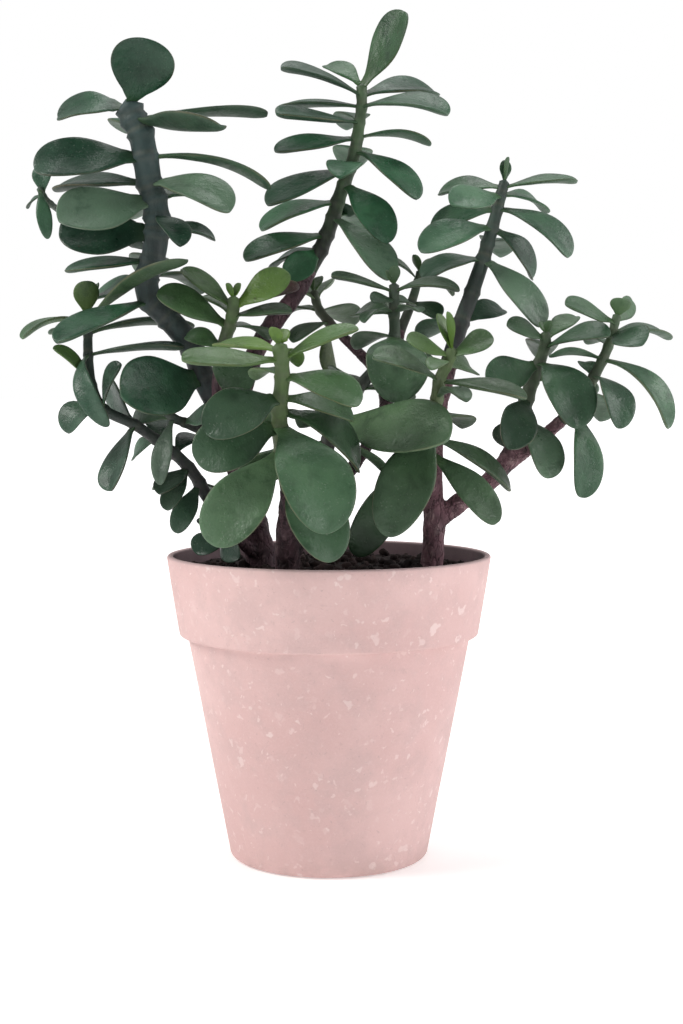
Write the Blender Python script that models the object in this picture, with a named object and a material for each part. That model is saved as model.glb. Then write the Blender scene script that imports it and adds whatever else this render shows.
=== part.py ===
"""A jade plant in a flared clay pot with a deep collar.

Three woody trunks stand in holes in the soil and carry the leafy stems. Each leafy stem is one
solid: a green stem with its leaves fused to it. The pot stands on the ground at the origin, and its
axis is Z.
"""

import bmesh
import bpy
import numpy as np

# Sizes and places are in millimetres. MM turns them into metres.
MM = 0.001
GAP = 0.3

POT_HEIGHT = 141.0
POT_RIM_RADIUS = 75.0
POT_COLLAR_HEIGHT = 37.0
POT_COLLAR_FOOT_RADIUS = 69.5
POT_BODY_TOP_RADIUS = 65.5
POT_BASE_RADIUS = 46.5
POT_WALL = 3.0
POT_FLOOR = 5.0
POT_BASE_ROUNDING = 3.0
POT_EDGE_ROUNDING = 1.2
POT_CORNER_POINTS = 3
POT_SEGMENTS = 40

SOIL_HEIGHT = 134.0
SOIL_RELIEF = 1.4
SOIL_SEGMENTS = 20
SOIL_RINGS = 6
SOIL_SEED = 7

STEM_SIDES = 8
STEM_STEP = 9.0
WOOD_SIDES = 8
WOOD_STEP = 12.0
STEM_DOME_SHARE = 0.8

# The plant is laid out as it is seen from the front, from this point: a place is (x, depth, height),
# where x and height are read on the upright plane through the pot's axis, and depth moves the place
# along the line of sight, away from the eye where it is positive.
EYE = np.array([0.0, -804.0, 218.0])

# Leafy stems: the joints from the bottom up, each with its place and the leaves that grow from it.
# A leaf is the place of its tip, then its width, its arch as a share of its length, the degrees that
# its upper face is turned towards the front, and the share of its length that is stalk. The last four
# may be left out.
# The radius of the stem runs evenly from the first value to the second.

LEAFY_STEMS = {
    "left_tall": dict(radius=(5.4, 6.0), joints=(
        ((-53, 4, 213), ()),
        ((-58, 5, 223), ((-96, -36, 214, 30, 0.03, 75),)),
        ((-63, 4, 236), ()),
        ((-74, 2, 250), ()),
        ((-82, 0, 258), ((-126, -36, 239, 20, 0.04, 22),)),
        ((-84, 0, 268), ((-108, 22, 259, 19, 0.02, 40), (-58, 34, 262, 18))),
        ((-81, 0, 276), ((-121, 6, 271, 14, 0.04, 30), (-84, 48, 268, 20))),
        ((-79, 0, 289), ((-124, -3, 289, 28, 0.0, 62), (-52, 10, 286, 16, 0.12, 20))),
        ((-79, 0, 296), ((-68, -28, 283, 15), (-90, 44, 296, 20))),
        ((-80, 0, 304), ((-124, -28, 294, 27, 0.02, 52), (-54, 30, 304, 20, 0.12, 30))),
        ((-82, 0, 311), ((-45, -26, 299, 22, 0.12, 25), (-126, 20, 309, 18, 0.05, 25))),
        ((-84, 0, 323), ((-135, -14, 318, 28, 0.06, 45), (-26, 8, 310, 18, 0.10, 10))),
        ((-86, 0, 334), ((-92, 46, 334, 22),)),
        ((-89, 0, 340), ((-49, -32, 337, 24, -0.01, -22), (-28, 22, 342, 16, 0.04, 5))),
        ((-91, 0, 345), ((-82, -12, 376.5, 29, 0.05, 143, 0.18), (-124, 2, 341, 22, 0.12, 40))),
    )),
    "left_side": dict(radius=(1.8, 1.3), joints=(
        ((-80, 3, 282), ()),
        ((-90, 17, 284), ()),
        ((-106, 26, 290), ()),
        ((-120, 19, 297), ()),
        ((-127.5, -1, 302), ()),
        ((-131, -8, 306), ((-130.5, -14, 320, 10, 0.05, 0), (-138, 2, 300, 5, 0.1, 20))),
        ((-132.5, -9, 309), ((-129, -18, 286, 7, 0.12, 10),)),
    )),
    "centre_tall": dict(radius=(3.8, 2.3), joints=(
        ((-9, 28, 272), ()),
        ((-4, 30, 281), ((-26, 44, 272, 15, 0.12, 40), (-20, 18, 268, 14, 0.1, 60))),
        ((-1, 32, 288), ((-39, 18, 277, 20, 0.06, 30),)),
        ((2, 33, 296), ((28, 8, 268, 21, 0.08, 18), (14, 76, 288, 20))),
        ((4, 33.5, 303), ((-32, 36, 291, 20, 0.07, 30), (9, 50, 296, 12))),
        ((7, 34, 311), ((27, 16, 284, 19, 0.12, 40),)),
        ((9.5, 35, 318), ((-28.5, 24, 301.5, 21, 0.05, 30), (5, 0, 314, 17))),
        ((12, 36, 326), ((40.5, 18, 304, 19, 0.10, 22), (10, 76, 318, 20))),
        ((13, 36, 332), ((47, 40, 329, 15, 0.10, 0), (-25, 30, 326, 17, 0.02, 32))),
        ((14, 37, 339), ((-24, 18, 342, 19, 0.02, 20), (8, 78, 336, 18))),
        ((15, 37, 346), ((55, 20, 343, 23, 0.10, 26), (-24, 48, 345, 19, 0.05, 15))),
        ((15, 37, 351), ((49, 56, 351, 21, 0.10, 26), (-22, 26, 363, 21, 0.07, 25))),
        ((15, 37, 355), ((35.5, 30, 388.5, 26, -0.03, 55), (-1, 56, 364, 13, 0.1, 20))),
    )),
    "right_tall": dict(radius=(4.0, 2.1), joints=(
        ((55, 6, 228), ()),
        ((61, 12, 248), ((80, 30, 254, 14, 0.1, 40), (42, 30, 240, 16))),
        ((66, 15, 262), ()),
        ((71, 17, 277), ((98, 2, 246, 20, 0.10, 38), (43, 14, 268, 20, 0.10, 25))),
        ((73, 18, 284), ((79, 56, 278, 18),)),
        ((75, 19, 291), ((42, 0, 280, 18, 0.12, 38), (93, 28, 268, 20, 0.14, 50))),
        ((77.5, 20, 300), ((111, 12, 278, 20, 0.14, 32), (46, 26, 291, 19, 0.08, 50))),
        ((78.8, 21, 306), ((56, -6, 302, 18, 0.04, 35), (99, 38, 298, 16, 0.14, 30))),
        ((79.8, 21, 309.5), ((114, 20, 312, 17, 0.06, 18), (50, 32, 307, 17, 0.08, 30))),
        ((80.5, 21, 312), ((82.5, 19, 323.5, 7, 0.0, 60), (81, 24, 322, 6, 0.0))),
    )),
    "right_outer": dict(radius=(4.0, 2.0), joints=(
        ((87, -3, 196), ()),
        ((89, -3, 204), ((102, -28, 176, 19, 0.16), (83, 12, 190, 18))),
        ((91.5, -4, 213), ((83, -22, 190, 18, 0.08, 30),)),
        ((94, -4, 221), ((122, 20, 214, 18),)),
        ((97, -5, 229), ((115, -34, 199, 24, 0.22, 20, 0.12), (73, -22, 221, 18, 0.02, 50))),
        ((99.5, -5, 236), ((130, -16, 242.5, 18, 0.10, 30), (97, 34, 232, 16))),
        ((100, -5, 240), ((82, -12, 247, 13, 0.06, 45), (114, 12, 251, 11, 0.06, 20))),
        ((100, -5, 243), ((102, -8, 249, 5, 0), (98, -2, 248.5, 5, 0))),
    )),
    "right_far": dict(radius=(2.9, 1.8), joints=(
        ((108, -7, 203), ()),
        ((113, -8, 208), ((117, -28, 167, 17, 0.14),)),
        ((118.5, -10, 216), ((126, 28, 203, 16),)),
        ((122.5, -10.5, 223), ((134, -38, 199, 17, 0.2), (118, 0, 230, 10, 0.1, 20))),
        ((126.5, -11, 231), ((158, -20, 199, 16, 0.20, 25), (102, -16, 236, 15, 0.10, -10))),
        ((129, -11, 237), ((119, 12, 238, 10),)),
        ((131, -11, 243), ((145, -30, 238, 18, 0.06, 40), (157, 12, 240.5, 14, 0.10, 10))),
        ((132, -11, 248), ((109.5, -32, 257, 14, 0.02, 45), (140, 14, 254, 10, 0.0, 50))),
        ((133, -11, 251), ((135.5, -16, 259, 10, 0.0), (138, -6, 257, 7, 0))),
    )),
    "front_right": dict(radius=(3.3, 2.2), joints=(
        ((45, -26, 183), ()),
        ((46, -34, 188), ((12, -40, 140, 18, 0.10, 30), (78, -42, 155, 15, 0.12, 25))),
        ((47.5, -40, 195), ((85, -26, 171, 15, 0.08, 20), (40, -14, 180, 15, 0.1, 30))),
        ((48.5, -46, 203), ((26.5, -74, 149, 24, 0.10, 20), (62, -16, 200, 18))),
        ((50, -52, 213), ((64, -88, 212, 10),)),
        ((51, -56, 221), ((20, -64, 232, 18, 0.10, 18), (92, -62, 214, 15, 0.04, 12))),
        ((54, -58, 228), ((66, -38, 226, 14, 0.1, 30), (47, -82, 226, 9))),
        ((56, -60, 232.5), ((35.5, -66, 240, 13, 0.02, 30), (76, -64, 241, 14, 0.04, 35))),
        ((57, -60, 235), ((54.5, -64, 253, 10, 0, 20), (50, -56, 252, 8, 0, 20))),
    )),
    "front": dict(radius=(3.8, 2.8), joints=(
        ((-18.5, -54, 171), ()),
        ((-20, -60, 179), ((1.5, -86, 137, 26, 0.10), (-48, -50, 150, 20, 0.1))),
        ((-21.5, -66, 189), ((-54.5, -84, 145, 26, 0.08, 30, 0.05), (-36, -38, 176, 18))),
        ((-23, -72, 200), ((-1, -108, 150, 32, 0.16), (-61.5, -84, 184, 25, 0.12, 45))),
        ((-22.7, -75, 207), ((13, -56, 180, 20, 0.20, 40), (-32, -42, 198, 16))),
        ((-22.5, -77, 213), ((-57, -96, 197, 23, 0.12, 40), (11, -72, 203, 17, 0.10, 25))),
        ((-21.5, -80, 223), ((15, -88, 211, 19, 0.10, 25), (-34, -52, 222, 12))),
        ((-22, -82, 231), ((-68, -96, 231, 18, 0.0, 20), (13.5, -80, 246, 14, 0.04, 20))),
        ((-22.5, -83, 235), ((-52, -58, 238, 15, 0.04, 10), (-14, -60, 228, 9))),
        ((-23, -83, 237), ((-26, -86, 246, 8, 0, 20), (-20, -80, 245, 7, 0, 20))),
    )),
    "left_inner": dict(radius=(3.2, 2.2), joints=(
        ((-50, -7, 226), ()),
        ((-49, -9, 236), ((-43, -30, 214, 20, 0.1), (-66, 14, 242, 14, 0.1, 30))),
        ((-46, -12, 246), ((-79, -18, 262, 18, 0.04, 35), (-28, 12, 240, 16))),
        ((-44.5, -15, 251), ((-17, -20, 253, 15, 0.04, 15), (-62, 12, 258, 14))),
        ((-44, -16, 255), ((-68, -12, 272, 17, 0.02, 20), (-18, -14, 270, 18, 0.02, 40))),
        ((-44, -16, 257), ((-14, 6, 264, 13, 0.02, -30),)),
        ((-44, -16, 259), ((-47, -18, 266, 6, 0), (-41, -14, 266, 6, 0))),
    )),
    "left_outer": dict(radius=(3.0, 1.9), joints=(
        ((-57, 3, 168), ()),
        ((-60, 2, 174), ((-71, -8, 150.5, 12, 0.06, 40), (-52, 22, 166, 14, 0.1, 30))),
        ((-65, 1, 181), ((-79, -18, 169, 13, 0.04, 30), (-75, -12, 161, 12, 0.06, 20))),
        ((-71.5, 0, 187.5), ((-80, 18, 172, 13, 0.06, 40), (-60, 20, 196, 13, 0.1, 30))),
        ((-80, -1, 194), ((-90, 16, 186, 11, 0.1, 40), (-78, 24, 205, 16, 0.1, 30))),
        ((-90, -3, 201), ((-101, -20, 170, 18, 0.06, 10), (-102, 16, 223, 17, 0.05, 60))),
        ((-104, -4, 208), ((-121, -14, 197, 18, 0.32, 32), (-96, -18, 229, 13, 0.1, 50))),
        ((-109.5, -4, 219), ((-127, -12, 237, 10, 0.1, 50),)),
        ((-111, -1, 233), ((-102, -24, 200, 11, 0.24, 58), (-67, 2, 236, 13, 0.05, 10))),
        ((-111, 3, 243), ((-62, 12, 246, 15, 0.08, 10), (-129, 8, 243, 12, 0.08, 10))),
        ((-111, 5, 248), ((-65, -30, 275.5, 13, 0.08, 10), (-142, -12, 241, 15, 0.14, 10))),
        ((-111.5, 6, 251), ((-111.5, 0, 267, 12, 0, 0), (-106, 14, 262, 8, 0))),
    )),
    "left_low": dict(radius=(2.4, 1.8), joints=(
        ((-60, 0, 199), ()),
        ((-67, -5, 202), ((-64, 22, 200, 12, 0.1, 30), (-50, -22, 207, 12, 0.05, 30))),
        ((-72, -9, 204), ((-78, -24, 173, 10, 0.10, 20), (-90, 14, 204, 11, 0.1, 30))),
        ((-75.5, -10, 207), ((-80, -12, 213, 6, 0), (-73.5, -4, 214, 6, 0))),
    )),
    "left_foot": dict(radius=(2.4, 1.8), joints=(
        ((-44, -8, 148), ()),
        ((-49, -12, 150), ((-62, -24, 141, 14, 0.1, 40), (-41, -38, 139, 13, 0.1, 40))),
        ((-52, -13, 152), ((-60, -2, 158, 8, 0), (-46, -18, 158, 7, 0))),
    )),
    "centre_back": dict(radius=(3.4, 2.0), joints=(
        ((-2, -32, 184), ()),
        ((0, -31, 194), ((-32, -26, 170, 18, 0.1), (26, -14, 178, 16, 0.1))),
        ((3, -30, 203), ((55.5, -80, 198, 33, 0.02, 62, 0.05), (-14, -8, 200, 14))),
        ((13, -21, 217), ((38, -2, 212, 16, 0.1, 10), (2, 2, 224, 16))),
        ((25, -11, 231), ((45, 14, 228, 18),)),
        ((30, -8, 241), ((30, -40, 211, 29, 0.22, 0), (12, 16, 236, 14))),
        ((30, -5, 252), ((12, 12, 251, 17, 0.1, 30), (42, -20, 253, 11), (16, -16, 248, 12, 0.2, 0))),
        ((30, -4, 258), ((20, -16, 257, 10, 0.1, 30), (38, 6, 256, 10, 0.1, 30))),
        ((30, -4, 262), ((1, -10, 269, 14, 0.04, 20), (60, -8, 262, 15, 0.14, 20))),
        ((30, -4, 265), ((30.5, -7, 274, 5.5, 0), (27, 0, 272, 5, 0))),
    )),
    "back_small": dict(radius=(2.4, 1.7), joints=(
        ((33, 26, 244), ()),
        ((38, 30, 257), ((51, 18, 250, 13, 0.1, 40), (20, 46, 252, 14))),
        ((41, 32, 267), ((28, 26, 276, 12, 0.1, 30), (57, 26, 260, 12, 0.2, 10))),
        ((42, 33, 271), ((50, 44, 277, 9, 0), (39, 30, 279, 6, 0))),
    )),
    "back_middle": dict(radius=(2.5, 1.8), joints=(
        ((5, 30, 243), ()),
        ((0, 32, 248), ((4, 32, 221, 16, 0.1, 10), (-17, 18, 239, 13, 0.1, 30))),
        ((-4, 34, 253), ((-24, 54, 250, 18), (12, 62, 247, 18))),
        ((-6, 35, 258), ((-14, 12, 262, 12, 0.1, 20), (-2, 66, 264, 16))),
        ((-7, 35, 262), ((-10, 30, 270, 8, 0), (-4, 42, 269, 7, 0))),
    )),
}

# Woody stems: each branch is a chain of (x, depth, height, radius).
TRUNKS = {
    "trunk_left": (
        (
            (-30, 6, 120, 7.4), (-33, 5, 145, 6.8), (-39, 4, 170, 6.3),
            (-45, 4, 192, 5.9), (-49, 4, 204, 5.6), (-53, 4, 213, 5.4),
        ),
        (
            (-41, 4, 176, 5.2), (-42, 7, 205, 4.8), (-38, 11, 224, 4.5),
            (-29, 16, 243, 4.3), (-15, 24, 261, 4.0), (-9, 28, 272, 3.8),
        ),
        ((-35, 5, 152, 4.2), (-48, 5, 159, 3.6), (-57, 3, 168, 3.0)),
        ((-45, 2, 190, 3.6), (-48, -7, 203, 3.4), (-51, -10, 216, 3.3), (-50, -7, 226, 3.2)),
        ((-44, 4, 190, 3.0), (-53, 2, 195, 2.7), (-60, 0, 199, 2.4)),
        ((-32, 3, 138, 3.0), (-38, -3, 144, 2.7), (-44, -8, 148, 2.4)),
    ),
    "trunk_right": (
        (
            (46, 0, 118, 6.0), (48, -1, 140, 5.2), (49, -2, 157, 5.0),
            (48, -2, 180, 4.6), (50, 0, 205, 4.3), (55, 6, 228, 4.0),
        ),
        (
            (49, -2, 156, 4.6), (61, -3, 165, 4.4), (76, -3, 176, 4.3),
            (84, -3, 187, 4.2), (87, -3, 196, 4.0),
        ),
        ((48, -2, 170, 3.6), (45, -14, 177, 3.4), (45, -26, 183, 3.3)),
        ((80, -3, 180, 3.4), (94, -5, 191, 3.1), (108, -7, 203, 2.9)),
    ),
    "trunk_front": (
        ((-19, -30, 120, 6.0), (-19.5, -37, 140, 5.4), (-19, -45, 157, 4.6), (-18.5, -54, 171, 3.8)),
        ((-19, -36, 138, 4.4), (-10, -34, 156, 4.0), (-4, -33, 170, 3.7), (-2, -32, 184, 3.4)),
        ((-6, -33, 164, 3.2), (13, -20, 184, 2.9), (28, 6, 214, 2.7), (33, 26, 244, 2.4)),
        ((26, 2, 209, 2.6), (24, 14, 222, 2.6), (15, 24, 233, 2.5), (5, 30, 243, 2.5)),
    ),
}

# The side shoot is fused to the leafy stem that it grows from.
SIDE_SHOOTS = {"left_tall": "left_side"}

# On these the EXACT solver leaves slivers sealed inside.
EXACT_FAILS = ("leafy_stem_left_tall",)

LEAF_COLOURS = {
    "left_tall": (0.035, 0.085, 0.050),
    "centre_tall": (0.040, 0.100, 0.060),
    "right_tall": (0.055, 0.115, 0.075),
    "right_outer": (0.070, 0.135, 0.085),
    "right_far": (0.065, 0.130, 0.080),
    "front_right": (0.070, 0.135, 0.075),
    "front": (0.060, 0.140, 0.065),
    "left_inner": (0.075, 0.165, 0.050),
    "left_outer": (0.045, 0.095, 0.055),
    "left_low": (0.045, 0.095, 0.055),
    "left_foot": (0.030, 0.065, 0.040),
    "centre_back": (0.050, 0.110, 0.060),
    "back_small": (0.050, 0.105, 0.060),
    "back_middle": (0.055, 0.110, 0.060),
}
BARK_COLOUR = (0.075, 0.052, 0.045)
POT_COLOUR = (0.58, 0.40, 0.38)
SOIL_COLOUR = (0.018, 0.012, 0.014)
LEAF_ROUGHNESS = 0.42
BARK_ROUGHNESS = 0.85
POT_ROUGHNESS = 0.75
SOIL_ROUGHNESS = 0.95
SHARP_EDGE_DEGREES = 40.0

USUAL_LENGTH_TO_WIDTH = 0.5
USUAL_WIDTHS = (6.0, 26.0)
USUAL_ARCH = 0.12
WIDEST_SHARE = 0.62
ROOT_WIDTH_SHARE = 0.17
SHOULDER_POWER = 1.9
# A leaf with a longer stalk has a rounder blade.
ROUNDER_BY_STALK = 6.0
CUP_SHARE = 0.15
THICKNESS_SHARE = 0.085
THICKNESSES = (1.4, 4.4)
# The blade is at its full thickness where its half width is over this share of the leaf's width.
FULL_THICKNESS_SHARE = 0.35
THINNING_POWER = 0.6

# Shares of the leaf's length where it has a ring of points, and the ring as (across, high) pairs.
LEAF_SHARES = (0.0, 0.26, 0.52, 0.78, 0.95)
LEAF_RING = ((-1, 0), (-0.5, 0.7), (0.5, 0.7), (1, 0), (0.5, -1), (-0.5, -1))
SMALL_LEAF_LENGTH = 36.0
SMALL_LEAF_SHARES = (0.0, 0.35, 0.68, 0.93)
SMALL_LEAF_RING = ((-1, 0), (0, 0.7), (1, 0), (0, -1))

# A leaf that would cross another leaf or a stem has its tip moved by the nearest of these offsets
# that clears them. A change of height counts more, because it shows more from the front.
CLEARANCE = 0.5
DEPTH_OFFSETS = range(-36, 37, 4)
HEIGHT_OFFSETS = range(-8, 9, 4)
HEIGHT_COST = 2.5
SAMPLE_STEP = 3.2
STEM_SAMPLE_STEP = 3.0
LAST_SAMPLE_SHARE = 0.985
CLUSTER_REACH = 11.0
OWN_STEM_REACH = 12.0
MARGIN_INSET = 1.2
SEARCH_REACH = 14.0


def unit(vector):
    return vector / np.linalg.norm(vector)


def place(point):
    """The point in space that is seen at (x, height) and lies at its depth along the line of sight."""
    x, depth, height = point[:3]
    seen = np.array([x, 0.0, height], float)
    return EYE + (seen - EYE) * (depth - EYE[1]) / -EYE[1]


def smooth_line(points, step):
    """A smooth line through rows of (x, y, z, radius), with about one row for each step of length."""
    points = np.asarray(points, float)
    rows = []
    for i in range(len(points) - 1):
        start, end = points[i], points[i + 1]
        before = points[i - 1] if i else 2 * start - end
        after = points[i + 2] if i + 2 < len(points) else 2 * end - start
        count = max(1, int(round(np.linalg.norm((end - start)[:3]) / step)))
        for k in range(count):
            t = k / count
            rows.append(
                start
                + 0.5 * (end - before) * t
                + (before - 2.5 * start + 2 * end - 0.5 * after) * t**2
                + (1.5 * start - 0.5 * before - 1.5 * end + 0.5 * after) * t**3
            )
    rows.append(points[-1])
    return np.array(rows)


def stem_line(name):
    """Rows of (x, y, z, radius), one for each joint of the leafy stem."""
    joints = LEAFY_STEMS[name]["joints"]
    places = np.array([place(joint[0]) for joint in joints])
    return np.column_stack([places, np.linspace(*LEAFY_STEMS[name]["radius"], len(joints))])


def branch_line(branch):
    return np.array([np.append(place(row), row[3]) for row in branch])


def leaf_from(joint, stem_up, row, offset):
    """The leaf of this row, with its tip moved by the offset (depth, height)."""
    width, arch, turn, stalk = (tuple(row[3:]) + (None,) * 4)[:4]
    tip = place((row[0], row[1] + offset[0], row[2] + offset[1]))
    length = np.linalg.norm(tip - joint)
    along = (tip - joint) / length
    up = unit(stem_up) + np.array([0.0, 0.0, 1.0])
    face = unit(up - (up @ along) * along)
    if turn:
        front = np.cross(along, face)
        front *= -np.sign(front[1])
        angle = np.radians(turn)
        face = face * np.cos(angle) + front * np.sin(angle)
    return {
        "root": joint,
        "tip": tip,
        "face": face,
        "length": length,
        "width": width or np.clip(USUAL_LENGTH_TO_WIDTH * length, *USUAL_WIDTHS),
        "arch": USUAL_ARCH if arch is None else arch,
        "stalk": stalk or 0.0,
        "thickness": np.clip(THICKNESS_SHARE * length, *THICKNESSES),
    }


def leaf_directions(leaf, shares):
    """Points on the leaf's middle line, which arches up, with the sideways and face directions there."""
    root, tip = leaf["root"], leaf["tip"]
    bend = (root + tip) / 2 + leaf["face"] * 2 * leaf["arch"] * leaf["length"]
    s = np.asarray(shares)[:, None]
    line = (1 - s) ** 2 * root + 2 * s * (1 - s) * bend + s**2 * tip
    along = (1 - s) * (bend - root) + s * (tip - bend)
    along /= np.linalg.norm(along, axis=1, keepdims=True)
    side = np.cross(along, leaf["face"])
    side /= np.linalg.norm(side, axis=1, keepdims=True)
    return line, side, np.cross(side, along)


def half_width_share(shares, stalk=0.0, bluntness=2.0):
    """Half the leaf's width at shares of its length: a narrow stalk, widest past the middle, a round tip."""
    blade = np.clip((np.asarray(shares, float) - stalk) / (1 - stalk), 0, 1)
    power = SHOULDER_POWER / (1 + ROUNDER_BY_STALK * stalk)
    rise = np.sin(np.pi / 2 * np.clip(blade / WIDEST_SHARE, 0, 1)) ** power
    fall = np.clip((blade - WIDEST_SHARE) / (1 - WIDEST_SHARE), 0, 1)
    return (ROOT_WIDTH_SHARE + (1 - ROOT_WIDTH_SHARE) * rise) * np.sqrt(1 - fall**bluntness)


def leaf_samples(leaf):
    """Points spread over the leaf's middle surface, and how far along the leaf each one is."""
    shares = np.linspace(0, 1, max(4, int(leaf["length"] / SAMPLE_STEP)))
    across = np.linspace(-1, 1, max(3, int(leaf["width"] / SAMPLE_STEP) | 1))
    line, side, _ = leaf_directions(leaf, shares)
    half = half_width_share(np.clip(shares, 0, LAST_SAMPLE_SHARE), leaf["stalk"])
    half *= leaf["width"] / 2 - MARGIN_INSET
    points = line[:, None] + side[:, None] * (half[:, None] * across)[..., None]
    return points.reshape(-1, 3), np.repeat(shares, len(across)) * leaf["length"]


def crossing(points, far, half, owner, others):
    """How much the sampled leaf runs into the rows (x, y, z, half size, owner, how far along)."""
    low = points.min(axis=0) - SEARCH_REACH
    high = points.max(axis=0) + SEARCH_REACH
    near = others[np.all((others[:, :3] > low) & (others[:, :3] < high), axis=1)]
    if not len(near):
        return 0.0
    gaps = np.linalg.norm(points[:, None] - near[None, :, :3], axis=2)
    gaps -= half + near[:, 3] + CLEARANCE
    is_leaf = near[:, 5] >= 0
    sibling = (near[:, 4] == owner) & is_leaf
    close = (far[:, None] < CLUSTER_REACH) | (near[:, 5] < CLUSTER_REACH)
    own_stem = (near[:, 4] == owner) & ~is_leaf
    joined = (sibling & close) | (own_stem & (far[:, None] < OWN_STEM_REACH))
    return np.clip(-gaps[~joined], 0, None).sum()


def obstacle_rows(line, owner, far=-1.0):
    rows = np.empty((len(line), 6))
    rows[:, :4] = line
    rows[:, 4] = owner
    rows[:, 5] = far
    return rows


def lay_out_leaves():
    """Leaves of each leafy stem by name, each bent clear of the stems and of the leaves before it."""
    obstacles = []
    for owner, name in enumerate(LEAFY_STEMS):
        obstacles.append(obstacle_rows(smooth_line(stem_line(name), STEM_SAMPLE_STEP), owner))
    for branches in TRUNKS.values():
        for branch in branches:
            obstacles.append(obstacle_rows(smooth_line(branch_line(branch), STEM_SAMPLE_STEP), -1))
    offsets = [(depth, height) for depth in DEPTH_OFFSETS for height in HEIGHT_OFFSETS]
    offsets.sort(key=lambda o: (abs(o[0]) + HEIGHT_COST * abs(o[1]), o))
    leaves = {}
    for owner, (name, stem) in enumerate(LEAFY_STEMS.items()):
        line = stem_line(name)[:, :3]
        leaves[name] = []
        for j, (_, rows) in enumerate(stem["joints"]):
            stem_up = line[min(j + 1, len(line) - 1)] - line[max(j - 1, 0)]
            for row in rows:
                others = np.concatenate(obstacles)
                tries = []
                for offset in offsets:
                    leaf = leaf_from(line[j], stem_up, row, offset)
                    points, far = leaf_samples(leaf)
                    half = leaf["thickness"] / 2
                    tries.append((crossing(points, far, half, owner, others), len(tries), leaf))
                    if tries[-1][0] == 0:
                        break
                leaf = min(tries)[2] if tries[-1][0] else tries[-1][2]
                leaves[name].append(leaf)
                points, far = leaf_samples(leaf)
                sizes = np.full((len(points), 1), leaf["thickness"] / 2)
                obstacles.append(obstacle_rows(np.hstack([points, sizes]), owner, far))
    return leaves


def loft(rings, first_cap=True, tip=None):
    """A closed mesh through rings of points. The last ring is capped, or drawn to the tip."""
    count = len(rings[0])
    points = [tuple(point) for ring in rings for point in ring]
    last = (len(rings) - 1) * count
    faces = []
    for start in range(0, last, count):
        for i in range(count):
            j = (i + 1) % count
            faces.append((start + i, start + j, start + count + j, start + count + i))
    if first_cap:
        faces.append(tuple(range(count - 1, -1, -1)))
    if tip is None:
        faces.append(tuple(range(last, last + count)))
    else:
        points.append(tuple(tip))
        faces += [(last + i, last + (i + 1) % count, len(points) - 1) for i in range(count)]
    return points, faces


def leaf_mesh(leaf):
    """A thick blade, cupped so that its margins stand above its middle."""
    small = leaf["length"] < SMALL_LEAF_LENGTH
    shares = SMALL_LEAF_SHARES if small else LEAF_SHARES
    ring_form = SMALL_LEAF_RING if small else LEAF_RING
    line, side, face = leaf_directions(leaf, shares)
    half = half_width_share(shares, leaf["stalk"]) * leaf["width"] / 2
    slim = np.clip(half / (FULL_THICKNESS_SHARE * leaf["width"]), 0, 1) ** THINNING_POWER
    rings = []
    for k, share in enumerate(shares):
        cup = 2 * CUP_SHARE * half[k] * share
        rings.append([
            line[k] + side[k] * half[k] * across
            + face[k] * (high * slim[k] * leaf["thickness"] / 2 + cup * across**2)
            for across, high in ring_form
        ])
    return loft(rings, tip=leaf["tip"])


def tube_mesh(line, sides, start_direction=None, domed=False):
    """A round tube along rows of (x, y, z, radius), with a flat start and a flat or domed end."""
    rings = []
    for k in range(len(line)):
        along = unit(line[min(k + 1, len(line) - 1), :3] - line[max(k - 1, 0), :3])
        if k == 0 and start_direction is not None:
            along = start_direction
        across = unit(np.array([1.0, 0.0, 0.0]) - along[0] * along)
        other = np.cross(along, across)
        angles = 2 * np.pi * np.arange(sides) / sides
        circle = np.outer(np.cos(angles), across) + np.outer(np.sin(angles), other)
        rings.append(line[k, :3] + line[k, 3] * circle)
    tip = line[-1, :3] + along * line[-1, 3] * STEM_DOME_SHARE if domed else None
    return loft(rings, tip=tip)


def principled(name, colour, roughness):
    material = bpy.data.materials.new(name)
    material.use_nodes = True
    shader = material.node_tree.nodes["Principled BSDF"]
    shader.inputs["Base Color"].default_value = (*colour, 1.0)
    shader.inputs["Roughness"].default_value = roughness
    shader.inputs["Metallic"].default_value = 0.0
    return material


def new_object(name, mesh_parts, collection):
    points, faces = mesh_parts
    mesh = bpy.data.meshes.new(name)
    mesh.from_pydata(np.array(points) * MM, [], faces)
    mesh.update()
    body = bpy.data.objects.new(name, mesh)
    collection.objects.link(body)
    return body


def island_volume(faces):
    total = 0.0
    for face in faces:
        a, b, c = (vert.co for vert in face.verts)
        total += a.dot(b.cross(c)) / 6
    return total


def keep_outer_skin(mesh):
    """Fills the hollows that fusing seals and drops loose scraps: only the largest skin stays."""
    work = bmesh.new()
    work.from_mesh(mesh)
    bmesh.ops.triangulate(work, faces=work.faces)
    islands = []
    waiting = set(work.faces)
    while waiting:
        reached = {waiting.pop()}
        edge_of_search = list(reached)
        while edge_of_search:
            face = edge_of_search.pop()
            for edge in face.edges:
                for other in edge.link_faces:
                    if other in waiting:
                        waiting.remove(other)
                        reached.add(other)
                        edge_of_search.append(other)
        islands.append(reached)
    islands.sort(key=island_volume)
    for island in islands[:-1]:
        bmesh.ops.delete(work, geom=list(island), context="FACES")
    work.to_mesh(mesh)
    work.free()


def apply_modifiers(body):
    bpy.context.view_layer.update()
    graph = bpy.context.evaluated_depsgraph_get()
    mesh = bpy.data.meshes.new_from_object(body.evaluated_get(graph))
    body.modifiers.clear()
    old = body.data
    body.data = mesh
    bpy.data.meshes.remove(old)
    mesh.name = body.name


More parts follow.
